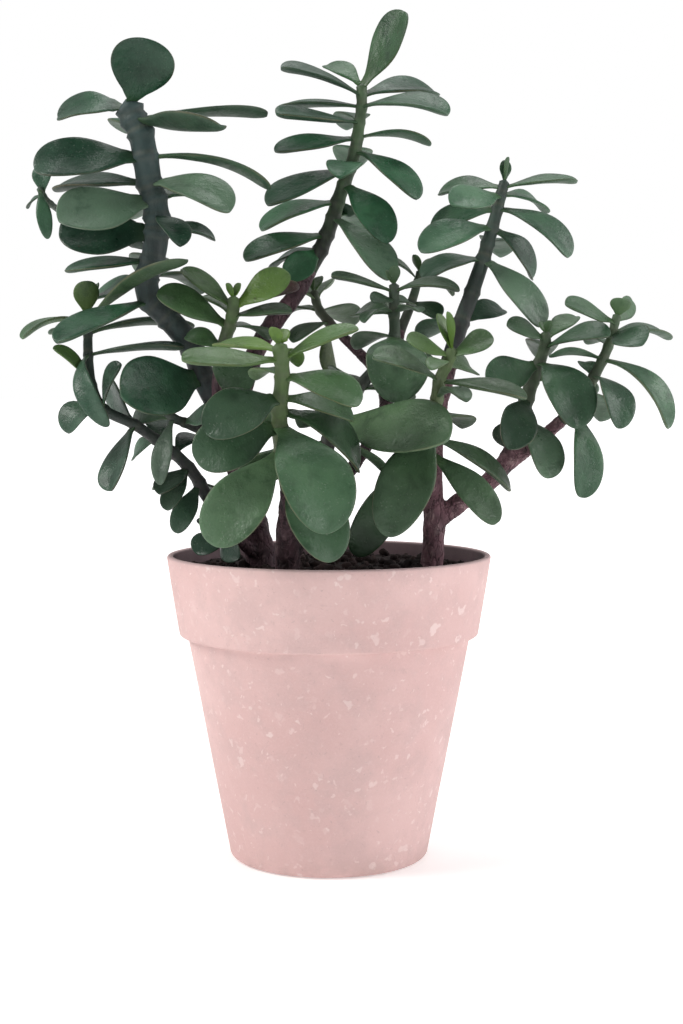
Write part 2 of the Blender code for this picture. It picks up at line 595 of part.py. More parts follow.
def fused(name, parts, material):
    """One solid from overlapping closed parts."""
    scene = bpy.context.scene.collection
    body = new_object(name, parts[0], scene)
    pieces = bpy.data.collections.new(name + "_pieces")
    scene.children.link(pieces)
    for number, part in enumerate(parts[1:]):
        new_object(f"{name}_{number}", part, pieces)
    union = body.modifiers.new("fuse", "BOOLEAN")
    union.operation = "UNION"
    union.operand_type = "COLLECTION"
    union.collection = pieces
    union.solver = "MANIFOLD" if name in EXACT_FAILS else "EXACT"
    apply_modifiers(body)
    for piece in list(pieces.objects):
        bpy.data.objects.remove(piece)
    bpy.data.collections.remove(pieces)
    keep_outer_skin(body.data)
    body.data.materials.append(material)
    return body


def wood_end_directions():
    """The direction in which each branch ends, by the place of its end."""
    ends = {}
    for branches in TRUNKS.values():
        for branch in branches:
            line = smooth_line(branch_line(branch), WOOD_STEP)
            ends[branch[-1][:3]] = unit(line[-1, :3] - line[-2, :3])
    return ends


def leafy_stem(name, leaves, wood_ends):
    """A green stem that carries on from the end of its branch, with its leaves and side shoot."""
    start = wood_ends[LEAFY_STEMS[name]["joints"][0][0]]
    line = smooth_line(stem_line(name), STEM_STEP)
    line[0, :3] += start * GAP
    parts = [tube_mesh(line, STEM_SIDES, start_direction=start, domed=True)]
    parts += [leaf_mesh(leaf) for leaf in leaves[name]]
    shoot = SIDE_SHOOTS.get(name)
    if shoot:
        parts.append(tube_mesh(smooth_line(stem_line(shoot), STEM_STEP), STEM_SIDES, domed=True))
        parts += [leaf_mesh(leaf) for leaf in leaves[shoot]]
    node = "leafy_stem_" + name
    return fused(node, parts, principled(node, LEAF_COLOURS[name], LEAF_ROUGHNESS))


def trunk(name):
    lines = [smooth_line(branch_line(branch), WOOD_STEP) for branch in TRUNKS[name]]
    parts = [tube_mesh(line, WOOD_SIDES) for line in lines]
    return fused(name, parts, principled(name, BARK_COLOUR, BARK_ROUGHNESS))


def rounded_corner(centre, radius, start_degrees, end_degrees):
    angles = np.radians(np.linspace(start_degrees, end_degrees, POT_CORNER_POINTS))
    return [(centre[0] + radius * np.cos(a), centre[1] + radius * np.sin(a)) for a in angles]


def pot_inner_radius(height):
    """The inside of the pot narrows evenly from the rim down to its floor."""
    low, high = POT_BASE_RADIUS - POT_WALL, POT_RIM_RADIUS - POT_WALL
    return low + (high - low) * (height - POT_FLOOR) / (POT_HEIGHT - POT_FLOOR)


def turned_mesh(profile, segments):
    """A closed solid turned about Z from a profile that starts and ends on the axis."""
    angles = 2 * np.pi * np.arange(segments) / segments
    points = [(0.0, 0.0, profile[0][1]), (0.0, 0.0, profile[-1][1])]
    rings = []
    for radius, height in profile[1:-1]:
        rings.append(range(len(points), len(points) + segments))
        points += [(radius * np.cos(a), radius * np.sin(a), height) for a in angles]
    faces = []
    for i in range(segments):
        j = (i + 1) % segments
        faces.append((0, rings[0][j], rings[0][i]))
        faces.append((1, rings[-1][i], rings[-1][j]))
        for low, high in zip(rings, rings[1:]):
            faces.append((low[i], low[j], high[j], high[i]))
    return points, faces


def pot():
    collar_foot = POT_HEIGHT - POT_COLLAR_HEIGHT
    base, edge = POT_BASE_ROUNDING, POT_EDGE_ROUNDING
    inner_rim = pot_inner_radius(POT_HEIGHT)
    profile = [(0.0, 0.0)]
    profile += rounded_corner((POT_BASE_RADIUS - base, base), base, -90, 0)
    profile.append((POT_BODY_TOP_RADIUS, collar_foot))
    profile += rounded_corner((POT_COLLAR_FOOT_RADIUS - edge, collar_foot + edge), edge, -90, 0)
    profile += rounded_corner((POT_RIM_RADIUS - edge, POT_HEIGHT - edge), edge, 0, 90)
    profile += rounded_corner((inner_rim + edge, POT_HEIGHT - edge), edge, 90, 180)
    profile.append((pot_inner_radius(POT_FLOOR), POT_FLOOR))
    profile.append((0.0, POT_FLOOR))
    body = new_object("pot", turned_mesh(profile, POT_SEGMENTS), bpy.context.scene.collection)
    body.data.shade_smooth()
    body.data.set_sharp_from_angle(angle=np.radians(SHARP_EDGE_DEGREES))
    body.data.materials.append(principled("pot", POT_COLOUR, POT_ROUGHNESS))
    return body


def soil():
    """Fills the pot to just below its rim, with a lumpy top and a plain hole for each trunk."""
    rng = np.random.default_rng(SOIL_SEED)
    floor = POT_FLOOR + GAP
    floor_radius = pot_inner_radius(floor) - GAP
    top_radius = pot_inner_radius(SOIL_HEIGHT) - 2 * GAP
    profile = [(0.0, floor), (floor_radius, floor), (top_radius, SOIL_HEIGHT)]
    profile += [(top_radius * (1 - k / SOIL_RINGS), SOIL_HEIGHT) for k in range(1, SOIL_RINGS)]
    profile.append((0.0, SOIL_HEIGHT))
    points, faces = turned_mesh(profile, SOIL_SEGMENTS)
    first_inner = 2 + 2 * SOIL_SEGMENTS
    points = np.array(points)
    lumps = rng.uniform(-SOIL_RELIEF, SOIL_RELIEF, len(points) - first_inner)
    points[first_inner:, 2] += lumps
    scene = bpy.context.scene.collection
    body = new_object("soil", (points, faces), scene)
    for name, branches in TRUNKS.items():
        line = smooth_line(branch_line(branches[0]), WOOD_STEP)
        line = line[line[:, 2] < SOIL_HEIGHT + 2 * WOOD_STEP]
        line[0, :3] -= unit(line[1, :3] - line[0, :3]) * GAP
        line[:, 3] += 2 * GAP
        hole = new_object("hole_for_" + name, tube_mesh(line, WOOD_SIDES), scene)
        cut = body.modifiers.new(name, "BOOLEAN")
        cut.operation = "DIFFERENCE"
        cut.object = hole
        cut.solver = "EXACT"
    apply_modifiers(body)
    for name in TRUNKS:
        bpy.data.objects.remove(bpy.data.objects["hole_for_" + name])
    body.data.materials.append(principled("soil", SOIL_COLOUR, SOIL_ROUGHNESS))
    return body


def main():
    for old in list(bpy.data.objects):
        bpy.data.objects.remove(old)
    leaves = lay_out_leaves()
    wood_ends = wood_end_directions()
    pot()
    soil()
    for name in TRUNKS:
        trunk(name)
    for name in LEAFY_STEMS:
        if name not in SIDE_SHOOTS.values():
            leafy_stem(name, leaves, wood_ends)


main()
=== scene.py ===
import bmesh
import bpy
import numpy as np
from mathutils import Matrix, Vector, noise


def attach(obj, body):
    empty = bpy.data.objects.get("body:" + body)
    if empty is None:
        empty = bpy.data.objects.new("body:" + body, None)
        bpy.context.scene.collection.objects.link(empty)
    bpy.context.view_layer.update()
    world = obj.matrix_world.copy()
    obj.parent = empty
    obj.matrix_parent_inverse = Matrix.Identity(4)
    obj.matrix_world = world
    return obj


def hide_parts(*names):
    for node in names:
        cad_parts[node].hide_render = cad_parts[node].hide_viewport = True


# The finished look of a potted jade plant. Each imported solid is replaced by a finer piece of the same
# form: the leaves, stems and trunks follow the table and rules of the part's source, in millimetres.

MM = 0.001

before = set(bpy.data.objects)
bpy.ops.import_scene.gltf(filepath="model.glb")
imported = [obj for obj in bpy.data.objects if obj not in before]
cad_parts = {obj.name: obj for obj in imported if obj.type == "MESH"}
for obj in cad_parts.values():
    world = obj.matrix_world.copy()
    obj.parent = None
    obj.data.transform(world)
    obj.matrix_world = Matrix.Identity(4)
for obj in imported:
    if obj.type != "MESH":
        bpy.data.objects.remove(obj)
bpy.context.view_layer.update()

POT_HEIGHT = 141.0
POT_RIM_RADIUS = 75.0
POT_COLLAR_HEIGHT = 37.0
POT_COLLAR_FOOT_RADIUS = 69.5
POT_BODY_TOP_RADIUS = 65.5
POT_BASE_RADIUS = 46.5
POT_WALL = 3.0
POT_FLOOR = 5.0
POT_BASE_ROUNDING = 3.0
POT_EDGE_ROUNDING = 1.2
SOIL_HEIGHT = 134.0

# The plant is laid out as it is seen from the front, from this point: a place is (x, depth, height),
# where x and height are read on the upright plane through the pot's axis, and depth moves the place
# along the line of sight, away from the eye where it is positive.
EYE = np.array([0.0, -804.0, 218.0])

# Leafy stems: the joints from the bottom up, each with its place and the leaves that grow from it.
# A leaf is the place of its tip, then its width, its arch as a share of its length, the degrees that
# its upper face is turned towards the front, and the share of its length that is stalk. The last four
# may be left out.
# The radius of the stem runs evenly from the first value to the second.

LEAFY_STEMS = {
    "left_tall": dict(radius=(5.4, 6.0), joints=(
        ((-53, 4, 213), ()),
        ((-58, 5, 223), ((-96, -36, 214, 30, 0.03, 75),)),
        ((-63, 4, 236), ()),
        ((-74, 2, 250), ()),
        ((-82, 0, 258), ((-126, -36, 239, 20, 0.04, 22),)),
        ((-84, 0, 268), ((-108, 22, 259, 19, 0.02, 40), (-58, 34, 262, 18))),
        ((-81, 0, 276), ((-121, 6, 271, 14, 0.04, 30), (-84, 48, 268, 20))),
        ((-79, 0, 289), ((-124, -3, 289, 28, 0.0, 62), (-52, 10, 286, 16, 0.12, 20))),
        ((-79, 0, 296), ((-68, -28, 283, 15), (-90, 44, 296, 20))),
        ((-80, 0, 304), ((-124, -28, 294, 27, 0.02, 52), (-54, 30, 304, 20, 0.12, 30))),
        ((-82, 0, 311), ((-45, -26, 299, 22, 0.12, 25), (-126, 20, 309, 18, 0.05, 25))),
        ((-84, 0, 323), ((-135, -14, 318, 28, 0.06, 45), (-26, 8, 310, 18, 0.10, 10))),
        ((-86, 0, 334), ((-92, 46, 334, 22),)),
        ((-89, 0, 340), ((-49, -32, 337, 24, -0.01, -22), (-28, 22, 342, 16, 0.04, 5))),
        ((-91, 0, 345), ((-82, -12, 376.5, 29, 0.05, 143, 0.18), (-124, 2, 341, 22, 0.12, 40))),
    )),
    "left_side": dict(radius=(1.8, 1.3), joints=(
        ((-80, 3, 282), ()),
        ((-90, 17, 284), ()),
        ((-106, 26, 290), ()),
        ((-120, 19, 297), ()),
        ((-127.5, -1, 302), ()),
        ((-131, -8, 306), ((-130.5, -14, 320, 10, 0.05, 0), (-138, 2, 300, 5, 0.1, 20))),
        ((-132.5, -9, 309), ((-129, -18, 286, 7, 0.12, 10),)),
    )),
    "centre_tall": dict(radius=(3.8, 2.3), joints=(
        ((-9, 28, 272), ()),
        ((-4, 30, 281), ((-26, 44, 272, 15, 0.12, 40), (-20, 18, 268, 14, 0.1, 60))),
        ((-1, 32, 288), ((-39, 18, 277, 20, 0.06, 30),)),
        ((2, 33, 296), ((28, 8, 268, 21, 0.08, 18), (14, 76, 288, 20))),
        ((4, 33.5, 303), ((-32, 36, 291, 20, 0.07, 30), (9, 50, 296, 12))),
        ((7, 34, 311), ((27, 16, 284, 19, 0.12, 40),)),
        ((9.5, 35, 318), ((-28.5, 24, 301.5, 21, 0.05, 30), (5, 0, 314, 17))),
        ((12, 36, 326), ((40.5, 18, 304, 19, 0.10, 22), (10, 76, 318, 20))),
        ((13, 36, 332), ((47, 40, 329, 15, 0.10, 0), (-25, 30, 326, 17, 0.02, 32))),
        ((14, 37, 339), ((-24, 18, 342, 19, 0.02, 20), (8, 78, 336, 18))),
        ((15, 37, 346), ((55, 20, 343, 23, 0.10, 26), (-24, 48, 345, 19, 0.05, 15))),
        ((15, 37, 351), ((49, 56, 351, 21, 0.10, 26), (-22, 26, 363, 21, 0.07, 25))),
        ((15, 37, 355), ((35.5, 30, 388.5, 26, -0.03, 55), (-1, 56, 364, 13, 0.1, 20))),
    )),
    "right_tall": dict(radius=(4.0, 2.1), joints=(
        ((55, 6, 228), ()),
        ((61, 12, 248), ((80, 30, 254, 14, 0.1, 40), (42, 30, 240, 16))),
        ((66, 15, 262), ()),
        ((71, 17, 277), ((98, 2, 246, 20, 0.10, 38), (43, 14, 268, 20, 0.10, 25))),
        ((73, 18, 284), ((79, 56, 278, 18),)),
        ((75, 19, 291), ((42, 0, 280, 18, 0.12, 38), (93, 28, 268, 20, 0.14, 50))),
        ((77.5, 20, 300), ((111, 12, 278, 20, 0.14, 32), (46, 26, 291, 19, 0.08, 50))),
        ((78.8, 21, 306), ((56, -6, 302, 18, 0.04, 35), (99, 38, 298, 16, 0.14, 30))),
        ((79.8, 21, 309.5), ((114, 20, 312, 17, 0.06, 18), (50, 32, 307, 17, 0.08, 30))),
        ((80.5, 21, 312), ((82.5, 19, 323.5, 7, 0.0, 60), (81, 24, 322, 6, 0.0))),
    )),
    "right_outer": dict(radius=(4.0, 2.0), joints=(
        ((87, -3, 196), ()),
        ((89, -3, 204), ((102, -28, 176, 19, 0.16), (83, 12, 190, 18))),
        ((91.5, -4, 213), ((83, -22, 190, 18, 0.08, 30),)),
        ((94, -4, 221), ((122, 20, 214, 18),)),
        ((97, -5, 229), ((115, -34, 199, 24, 0.22, 20, 0.12), (73, -22, 221, 18, 0.02, 50))),
        ((99.5, -5, 236), ((130, -16, 242.5, 18, 0.10, 30), (97, 34, 232, 16))),
        ((100, -5, 240), ((82, -12, 247, 13, 0.06, 45), (114, 12, 251, 11, 0.06, 20))),
        ((100, -5, 243), ((102, -8, 249, 5, 0), (98, -2, 248.5, 5, 0))),
    )),
    "right_far": dict(radius=(2.9, 1.8), joints=(
        ((108, -7, 203), ()),
        ((113, -8, 208), ((117, -28, 167, 17, 0.14),)),
        ((118.5, -10, 216), ((126, 28, 203, 16),)),
        ((122.5, -10.5, 223), ((134, -38, 199, 17, 0.2), (118, 0, 230, 10, 0.1, 20))),
        ((126.5, -11, 231), ((158, -20, 199, 16, 0.20, 25), (102, -16, 236, 15, 0.10, -10))),
        ((129, -11, 237), ((119, 12, 238, 10),)),
        ((131, -11, 243), ((145, -30, 238, 18, 0.06, 40), (157, 12, 240.5, 14, 0.10, 10))),
        ((132, -11, 248), ((109.5, -32, 257, 14, 0.02, 45), (140, 14, 254, 10, 0.0, 50))),
        ((133, -11, 251), ((135.5, -16, 259, 10, 0.0), (138, -6, 257, 7, 0))),
    )),
    "front_right": dict(radius=(3.3, 2.2), joints=(
        ((45, -26, 183), ()),
        ((46, -34, 188), ((12, -40, 140, 18, 0.10, 30), (78, -42, 155, 15, 0.12, 25))),
        ((47.5, -40, 195), ((85, -26, 171, 15, 0.08, 20), (40, -14, 180, 15, 0.1, 30))),
        ((48.5, -46, 203), ((26.5, -74, 149, 24, 0.10, 20), (62, -16, 200, 18))),
        ((50, -52, 213), ((64, -88, 212, 10),)),
        ((51, -56, 221), ((20, -64, 232, 18, 0.10, 18), (92, -62, 214, 15, 0.04, 12))),
        ((54, -58, 228), ((66, -38, 226, 14, 0.1, 30), (47, -82, 226, 9))),
        ((56, -60, 232.5), ((35.5, -66, 240, 13, 0.02, 30), (76, -64, 241, 14, 0.04, 35))),
        ((57, -60, 235), ((54.5, -64, 253, 10, 0, 20), (50, -56, 252, 8, 0, 20))),
    )),
    "front": dict(radius=(3.8, 2.8), joints=(
        ((-18.5, -54, 171), ()),
        ((-20, -60, 179), ((1.5, -86, 137, 26, 0.10), (-48, -50, 150, 20, 0.1))),
        ((-21.5, -66, 189), ((-54.5, -84, 145, 26, 0.08, 30, 0.05), (-36, -38, 176, 18))),
        ((-23, -72, 200), ((-1, -108, 150, 32, 0.16), (-61.5, -84, 184, 25, 0.12, 45))),
        ((-22.7, -75, 207), ((13, -56, 180, 20, 0.20, 40), (-32, -42, 198, 16))),
        ((-22.5, -77, 213), ((-57, -96, 197, 23, 0.12, 40), (11, -72, 203, 17, 0.10, 25))),
        ((-21.5, -80, 223), ((15, -88, 211, 19, 0.10, 25), (-34, -52, 222, 12))),
        ((-22, -82, 231), ((-68, -96, 231, 18, 0.0, 20), (13.5, -80, 246, 14, 0.04, 20))),
        ((-22.5, -83, 235), ((-52, -58, 238, 15, 0.04, 10), (-14, -60, 228, 9))),
        ((-23, -83, 237), ((-26, -86, 246, 8, 0, 20), (-20, -80, 245, 7, 0, 20))),
    )),
    "left_inner": dict(radius=(3.2, 2.2), joints=(
        ((-50, -7, 226), ()),
        ((-49, -9, 236), ((-43, -30, 214, 20, 0.1), (-66, 14, 242, 14, 0.1, 30))),
        ((-46, -12, 246), ((-79, -18, 262, 18, 0.04, 35), (-28, 12, 240, 16))),
        ((-44.5, -15, 251), ((-17, -20, 253, 15, 0.04, 15), (-62, 12, 258, 14))),
        ((-44, -16, 255), ((-68, -12, 272, 17, 0.02, 20), (-18, -14, 270, 18, 0.02, 40))),
        ((-44, -16, 257), ((-14, 6, 264, 13, 0.02, -30),)),
        ((-44, -16, 259), ((-47, -18, 266, 6, 0), (-41, -14, 266, 6, 0))),
    )),
    "left_outer": dict(radius=(3.0, 1.9), joints=(
        ((-57, 3, 168), ()),
        ((-60, 2, 174), ((-71, -8, 150.5, 12, 0.06, 40), (-52, 22, 166, 14, 0.1, 30))),
        ((-65, 1, 181), ((-79, -18, 169, 13, 0.04, 30), (-75, -12, 161, 12, 0.06, 20))),
        ((-71.5, 0, 187.5), ((-80, 18, 172, 13, 0.06, 40), (-60, 20, 196, 13, 0.1, 30))),
        ((-80, -1, 194), ((-90, 16, 186, 11, 0.1, 40), (-78, 24, 205, 16, 0.1, 30))),
        ((-90, -3, 201), ((-101, -20, 170, 18, 0.06, 10), (-102, 16, 223, 17, 0.05, 60))),
        ((-104, -4, 208), ((-121, -14, 197, 18, 0.32, 32), (-96, -18, 229, 13, 0.1, 50))),
        ((-109.5, -4, 219), ((-127, -12, 237, 10, 0.1, 50),)),
        ((-111, -1, 233), ((-102, -24, 200, 11, 0.24, 58), (-67, 2, 236, 13, 0.05, 10))),
        ((-111, 3, 243), ((-62, 12, 246, 15, 0.08, 10), (-129, 8, 243, 12, 0.08, 10))),
        ((-111, 5, 248), ((-65, -30, 275.5, 13, 0.08, 10), (-142, -12, 241, 15, 0.14, 10))),
        ((-111.5, 6, 251), ((-111.5, 0, 267, 12, 0, 0), (-106, 14, 262, 8, 0))),
    )),
    "left_low": dict(radius=(2.4, 1.8), joints=(
        ((-60, 0, 199), ()),
        ((-67, -5, 202), ((-64, 22, 200, 12, 0.1, 30), (-50, -22, 207, 12, 0.05, 30))),
        ((-72, -9, 204), ((-78, -24, 173, 10, 0.10, 20), (-90, 14, 204, 11, 0.1, 30))),
        ((-75.5, -10, 207), ((-80, -12, 213, 6, 0), (-73.5, -4, 214, 6, 0))),
    )),
    "left_foot": dict(radius=(2.4, 1.8), joints=(
        ((-44, -8, 148), ()),
        ((-49, -12, 150), ((-62, -24, 141, 14, 0.1, 40), (-41, -38, 139, 13, 0.1, 40))),
        ((-52, -13, 152), ((-60, -2, 158, 8, 0), (-46, -18, 158, 7, 0))),
    )),
    "centre_back": dict(radius=(3.4, 2.0), joints=(
        ((-2, -32, 184), ()),
        ((0, -31, 194), ((-32, -26, 170, 18, 0.1), (26, -14, 178, 16, 0.1))),
        ((3, -30, 203), ((55.5, -80, 198, 33, 0.02, 62, 0.05), (-14, -8, 200, 14))),
        ((13, -21, 217), ((38, -2, 212, 16, 0.1, 10), (2, 2, 224, 16))),
        ((25, -11, 231), ((45, 14, 228, 18),)),
        ((30, -8, 241), ((30, -40, 211, 29, 0.22, 0), (12, 16, 236, 14))),
        ((30, -5, 252), ((12, 12, 251, 17, 0.1, 30), (42, -20, 253, 11), (16, -16, 248, 12, 0.2, 0))),
        ((30, -4, 258), ((20, -16, 257, 10, 0.1, 30), (38, 6, 256, 10, 0.1, 30))),
        ((30, -4, 262), ((1, -10, 269, 14, 0.04, 20), (60, -8, 262, 15, 0.14, 20))),
        ((30, -4, 265), ((30.5, -7, 274, 5.5, 0), (27, 0, 272, 5, 0))),
    )),
    "back_small": dict(radius=(2.4, 1.7), joints=(
        ((33, 26, 244), ()),
        ((38, 30, 257), ((51, 18, 250, 13, 0.1, 40), (20, 46, 252, 14))),
        ((41, 32, 267), ((28, 26, 276, 12, 0.1, 30), (57, 26, 260, 12, 0.2, 10))),
        ((42, 33, 271), ((50, 44, 277, 9, 0), (39, 30, 279, 6, 0))),
    )),
    "back_middle": dict(radius=(2.5, 1.8), joints=(
        ((5, 30, 243), ()),
        ((0, 32, 248), ((4, 32, 221, 16, 0.1, 10), (-17, 18, 239, 13, 0.1, 30))),
        ((-4, 34, 253), ((-24, 54, 250, 18), (12, 62, 247, 18))),
        ((-6, 35, 258), ((-14, 12, 262, 12, 0.1, 20), (-2, 66, 264, 16))),
        ((-7, 35, 262), ((-10, 30, 270, 8, 0), (-4, 42, 269, 7, 0))),
    )),
}

# Woody stems: each branch is a chain of (x, depth, height, radius).
TRUNKS = {
    "trunk_left": (
        (
            (-30, 6, 120, 7.4), (-33, 5, 145, 6.8), (-39, 4, 170, 6.3),
            (-45, 4, 192, 5.9), (-49, 4, 204, 5.6), (-53, 4, 213, 5.4),
        ),
        (
            (-41, 4, 176, 5.2), (-42, 7, 205, 4.8), (-38, 11, 224, 4.5),
            (-29, 16, 243, 4.3), (-15, 24, 261, 4.0), (-9, 28, 272, 3.8),
        ),
        ((-35, 5, 152, 4.2), (-48, 5, 159, 3.6), (-57, 3, 168, 3.0)),
        ((-45, 2, 190, 3.6), (-48, -7, 203, 3.4), (-51, -10, 216, 3.3), (-50, -7, 226, 3.2)),
        ((-44, 4, 190, 3.0), (-53, 2, 195, 2.7), (-60, 0, 199, 2.4)),
        ((-32, 3, 138, 3.0), (-38, -3, 144, 2.7), (-44, -8, 148, 2.4)),
    ),
    "trunk_right": (
        (
            (46, 0, 118, 6.0), (48, -1, 140, 5.2), (49, -2, 157, 5.0),
            (48, -2, 180, 4.6), (50, 0, 205, 4.3), (55, 6, 228, 4.0),
        ),
        (
            (49, -2, 156, 4.6), (61, -3, 165, 4.4), (76, -3, 176, 4.3),
            (84, -3, 187, 4.2), (87, -3, 196, 4.0),
        ),
        ((48, -2, 170, 3.6), (45, -14, 177, 3.4), (45, -26, 183, 3.3)),
        ((80, -3, 180, 3.4), (94, -5, 191, 3.1), (108, -7, 203, 2.9)),
    ),
    "trunk_front": (
        ((-19, -30, 120, 6.0), (-19.5, -37, 140, 5.4), (-19, -45, 157, 4.6), (-18.5, -54, 171, 3.8)),
        ((-19, -36, 138, 4.4), (-10, -34, 156, 4.0), (-4, -33, 170, 3.7), (-2, -32, 184, 3.4)),
        ((-6, -33, 164, 3.2), (13, -20, 184, 2.9), (28, 6, 214, 2.7), (33, 26, 244, 2.4)),
        ((26, 2, 209, 2.6), (24, 14, 222, 2.6), (15, 24, 233, 2.5), (5, 30, 243, 2.5)),
    ),
}

SIDE_SHOOTS = {"left_tall": "left_side"}

WOOD_STEP = 12.0
USUAL_LENGTH_TO_WIDTH = 0.5
USUAL_WIDTHS = (6.0, 26.0)
USUAL_ARCH = 0.12
WIDEST_SHARE = 0.62
ROOT_WIDTH_SHARE = 0.17
SHOULDER_POWER = 1.9
# A leaf with a longer stalk has a rounder blade.
ROUNDER_BY_STALK = 6.0
CUP_SHARE = 0.15
THICKNESS_SHARE = 0.085
THICKNESSES = (1.4, 4.4)

# A leaf that would cross another leaf or a stem has its tip moved by the nearest of these offsets
# that clears them. A change of height counts more, because it shows more from the front.
CLEARANCE = 0.5
DEPTH_OFFSETS = range(-36, 37, 4)
HEIGHT_OFFSETS = range(-8, 9, 4)
HEIGHT_COST = 2.5
SAMPLE_STEP = 3.2
STEM_SAMPLE_STEP = 3.0
LAST_SAMPLE_SHARE = 0.985
CLUSTER_REACH = 11.0
OWN_STEM_REACH = 12.0
MARGIN_INSET = 1.2
SEARCH_REACH = 14.0

# How young the top of each leafy stem is, and over how many joints that fades.
YOUNG_TOPS = {
    "front": (1.0, 4), "front_right": (0.55, 3), "left_inner": (0.5, 4), "left_outer": (0.35, 3),
    "left_low": (0.2, 2), "left_foot": (0.0, 1), "left_tall": (0.0, 1), "left_side": (0.1, 2),
    "right_outer": (0.3, 2), "right_far": (0.3, 2), "right_tall": (0.2, 2), "centre_tall": (0.15, 1),
    "centre_back": (0.15, 2), "back_small": (0.3, 2), "back_middle": (0.3, 2),
}
# Leaves that differ from their neighbours, by the place (x, height) of the tip: how young, how red, and
# how light from 0 to 1. A red below 0 is a pale grey film instead, partly wax bloom and partly painted
# sheen.
# A listed lightness is partly the leaf's own tone: a low one is partly painted shade, a high one painted
# light.
LEAF_TINTS = {
    (-18, 270): (0.85, 0.1, 0.6), (-14, 264): (0.1, 1.0, 0.3), (-68, 272): (0.25, 0.2, 0.3),
    (-17, 253): (0.05, 0.1, 0.1), (-79, 262): (0.1, 0.0, 0.5), (-43, 214): (0.0, 0.0, 0.0),
    (13.5, 246): (0.6, 0.0, 0.5), (-68, 231): (0.5, 0.1, 0.4), (54.5, 253): (0.9, 0.0, 0.6),
    (50, 252): (0.8, 0.0, 0.5), (-111.5, 267): (0.7, 0.1, 0.4), (-127, 237): (0.75, 0.0, 0.6),
    (35.5, 388.5): (0.30, 0.0, 0.10), (-82, 376.5): (0.0, 0.0, 0.2), (15, 211): (0.25, 0.0, 0.4),
    (11, 203): (0.15, 0.1, 0.4), (76, 241): (0.2, 0.0, 0.5), (-47, 266): (0.9, 0.0, 0.5),
    (-41, 266): (0.9, 0.0, 0.5), (4, 221): (0.4, 0.25, 0.5), (-57, 197): (0.0, 0.0, 0.0),
    (-61.5, 184): (0.0, 0.12, 0.15), (-54.5, 145): (0.1, -0.25, 0.75), (1.5, 137): (0.0, 0.1, 0.3),
    (-1, 150): (0.0, 0.0, 0.45), (13, 180): (0.1, 0.0, 0.0), (26.5, 149): (0.0, 0.0, 0.15),
    (12, 140): (0.0, 0.0, 0.0), (55.5, 198): (0.1, 0.0, 0.7), (92, 214): (0.1, 0.0, 0.15),
    (-126, 309): (0.0, 0.0, 0.0), (-135, 318): (0.0, 0.0, 0.1), (-124, 294): (0.0, -0.5, 0.8),
    (-45, 299): (0.05, -0.5, 0.8), (-124, 289): (0.0, 0.0, 0.0), (-68, 283): (0.0, 0.0, 0.0),
    (-22, 363): (0.0, 0.0, 0.0), (-24, 342): (0.0, 0.0, 0.1), (55, 343): (0.0, -0.2, 0.4),
    (-39, 277): (0.0, 0.3, 0.4), (28, 268): (0.0, -0.5, 0.8), (98, 246): (0.0, -0.45, 0.8),
    (115, 199): (0.0, 0.0, 0.2), (102, 176): (0.0, -0.4, 0.7), (83, 190): (0.0, 0.0, 0.0),
    (-79, 169): (0.0, 0.45, 0.3), (-75, 161): (0.0, 0.5, 0.5), (-71, 150.5): (0.0, 0.2, 0.4),
    (-78, 173): (0.0, -0.6, 0.6), (-101, 170): (0.0, 0.1, 0.3),
    (-121, 197): (0.0, 0.1, 0.5), (-96, 214): (0.0, 0.0, 0.55),
}
# The colours of the leaves of each stem, above and below.
LEAF_LOOKS = {
    "left_tall": ((0.018, 0.061, 0.032), (0.047, 0.090, 0.052)),
    "left_side": ((0.023, 0.067, 0.042), (0.044, 0.090, 0.053)),
    "centre_tall": ((0.022, 0.082, 0.038), (0.041, 0.101, 0.052)),
    "right_tall": ((0.037, 0.087, 0.051), (0.051, 0.109, 0.062)),
    "right_outer": ((0.035, 0.083, 0.042), (0.067, 0.126, 0.071)),
    "right_far": ((0.035, 0.082, 0.045), (0.067, 0.126, 0.074)),
    "front_right": ((0.042, 0.083, 0.041), (0.071, 0.130, 0.065)),
    "front": ((0.039, 0.090, 0.044), (0.077, 0.137, 0.063)),
    "left_inner": ((0.035, 0.079, 0.033), (0.063, 0.119, 0.058)),
    "left_outer": ((0.030, 0.072, 0.044), (0.058, 0.103, 0.063)),
    "left_low": ((0.037, 0.072, 0.049), (0.071, 0.107, 0.067)),
    "left_foot": ((0.018, 0.044, 0.028), (0.040, 0.069, 0.042)),
    "centre_back": ((0.035, 0.073, 0.038), (0.063, 0.113, 0.063)),
    "back_small": ((0.035, 0.073, 0.038), (0.063, 0.113, 0.063)),
    "back_middle": ((0.035, 0.069, 0.036), (0.063, 0.113, 0.055)),
}
# The colours of each stem, at its foot and at its top.
STEM_LOOKS = {
    "left_tall": ((0.030, 0.036, 0.037), (0.022, 0.046, 0.044)),
    "left_side": ((0.034, 0.052, 0.045), (0.046, 0.075, 0.051)),
    "centre_tall": ((0.022, 0.024, 0.022), (0.055, 0.105, 0.045)),
    "right_tall": ((0.026, 0.026, 0.028), (0.030, 0.055, 0.042)),
    "right_outer": ((0.045, 0.045, 0.034), (0.049, 0.082, 0.041)),
    "right_far": ((0.045, 0.049, 0.034), (0.052, 0.088, 0.044)),
    "front_right": ((0.060, 0.063, 0.038), (0.072, 0.116, 0.041)),
    "front": ((0.050, 0.055, 0.030), (0.064, 0.112, 0.034)),
    "left_inner": ((0.045, 0.042, 0.034), (0.058, 0.102, 0.034)),
    "left_outer": ((0.022, 0.022, 0.024), (0.024, 0.042, 0.032)),
    "left_low": ((0.024, 0.022, 0.024), (0.026, 0.042, 0.032)),
    "left_foot": ((0.030, 0.026, 0.026), (0.035, 0.050, 0.034)),
    "centre_back": ((0.026, 0.025, 0.024), (0.036, 0.061, 0.037)),
    "back_small": ((0.034, 0.035, 0.030), (0.039, 0.068, 0.037)),
    "back_middle": ((0.053, 0.035, 0.036), (0.046, 0.068, 0.037)),
}
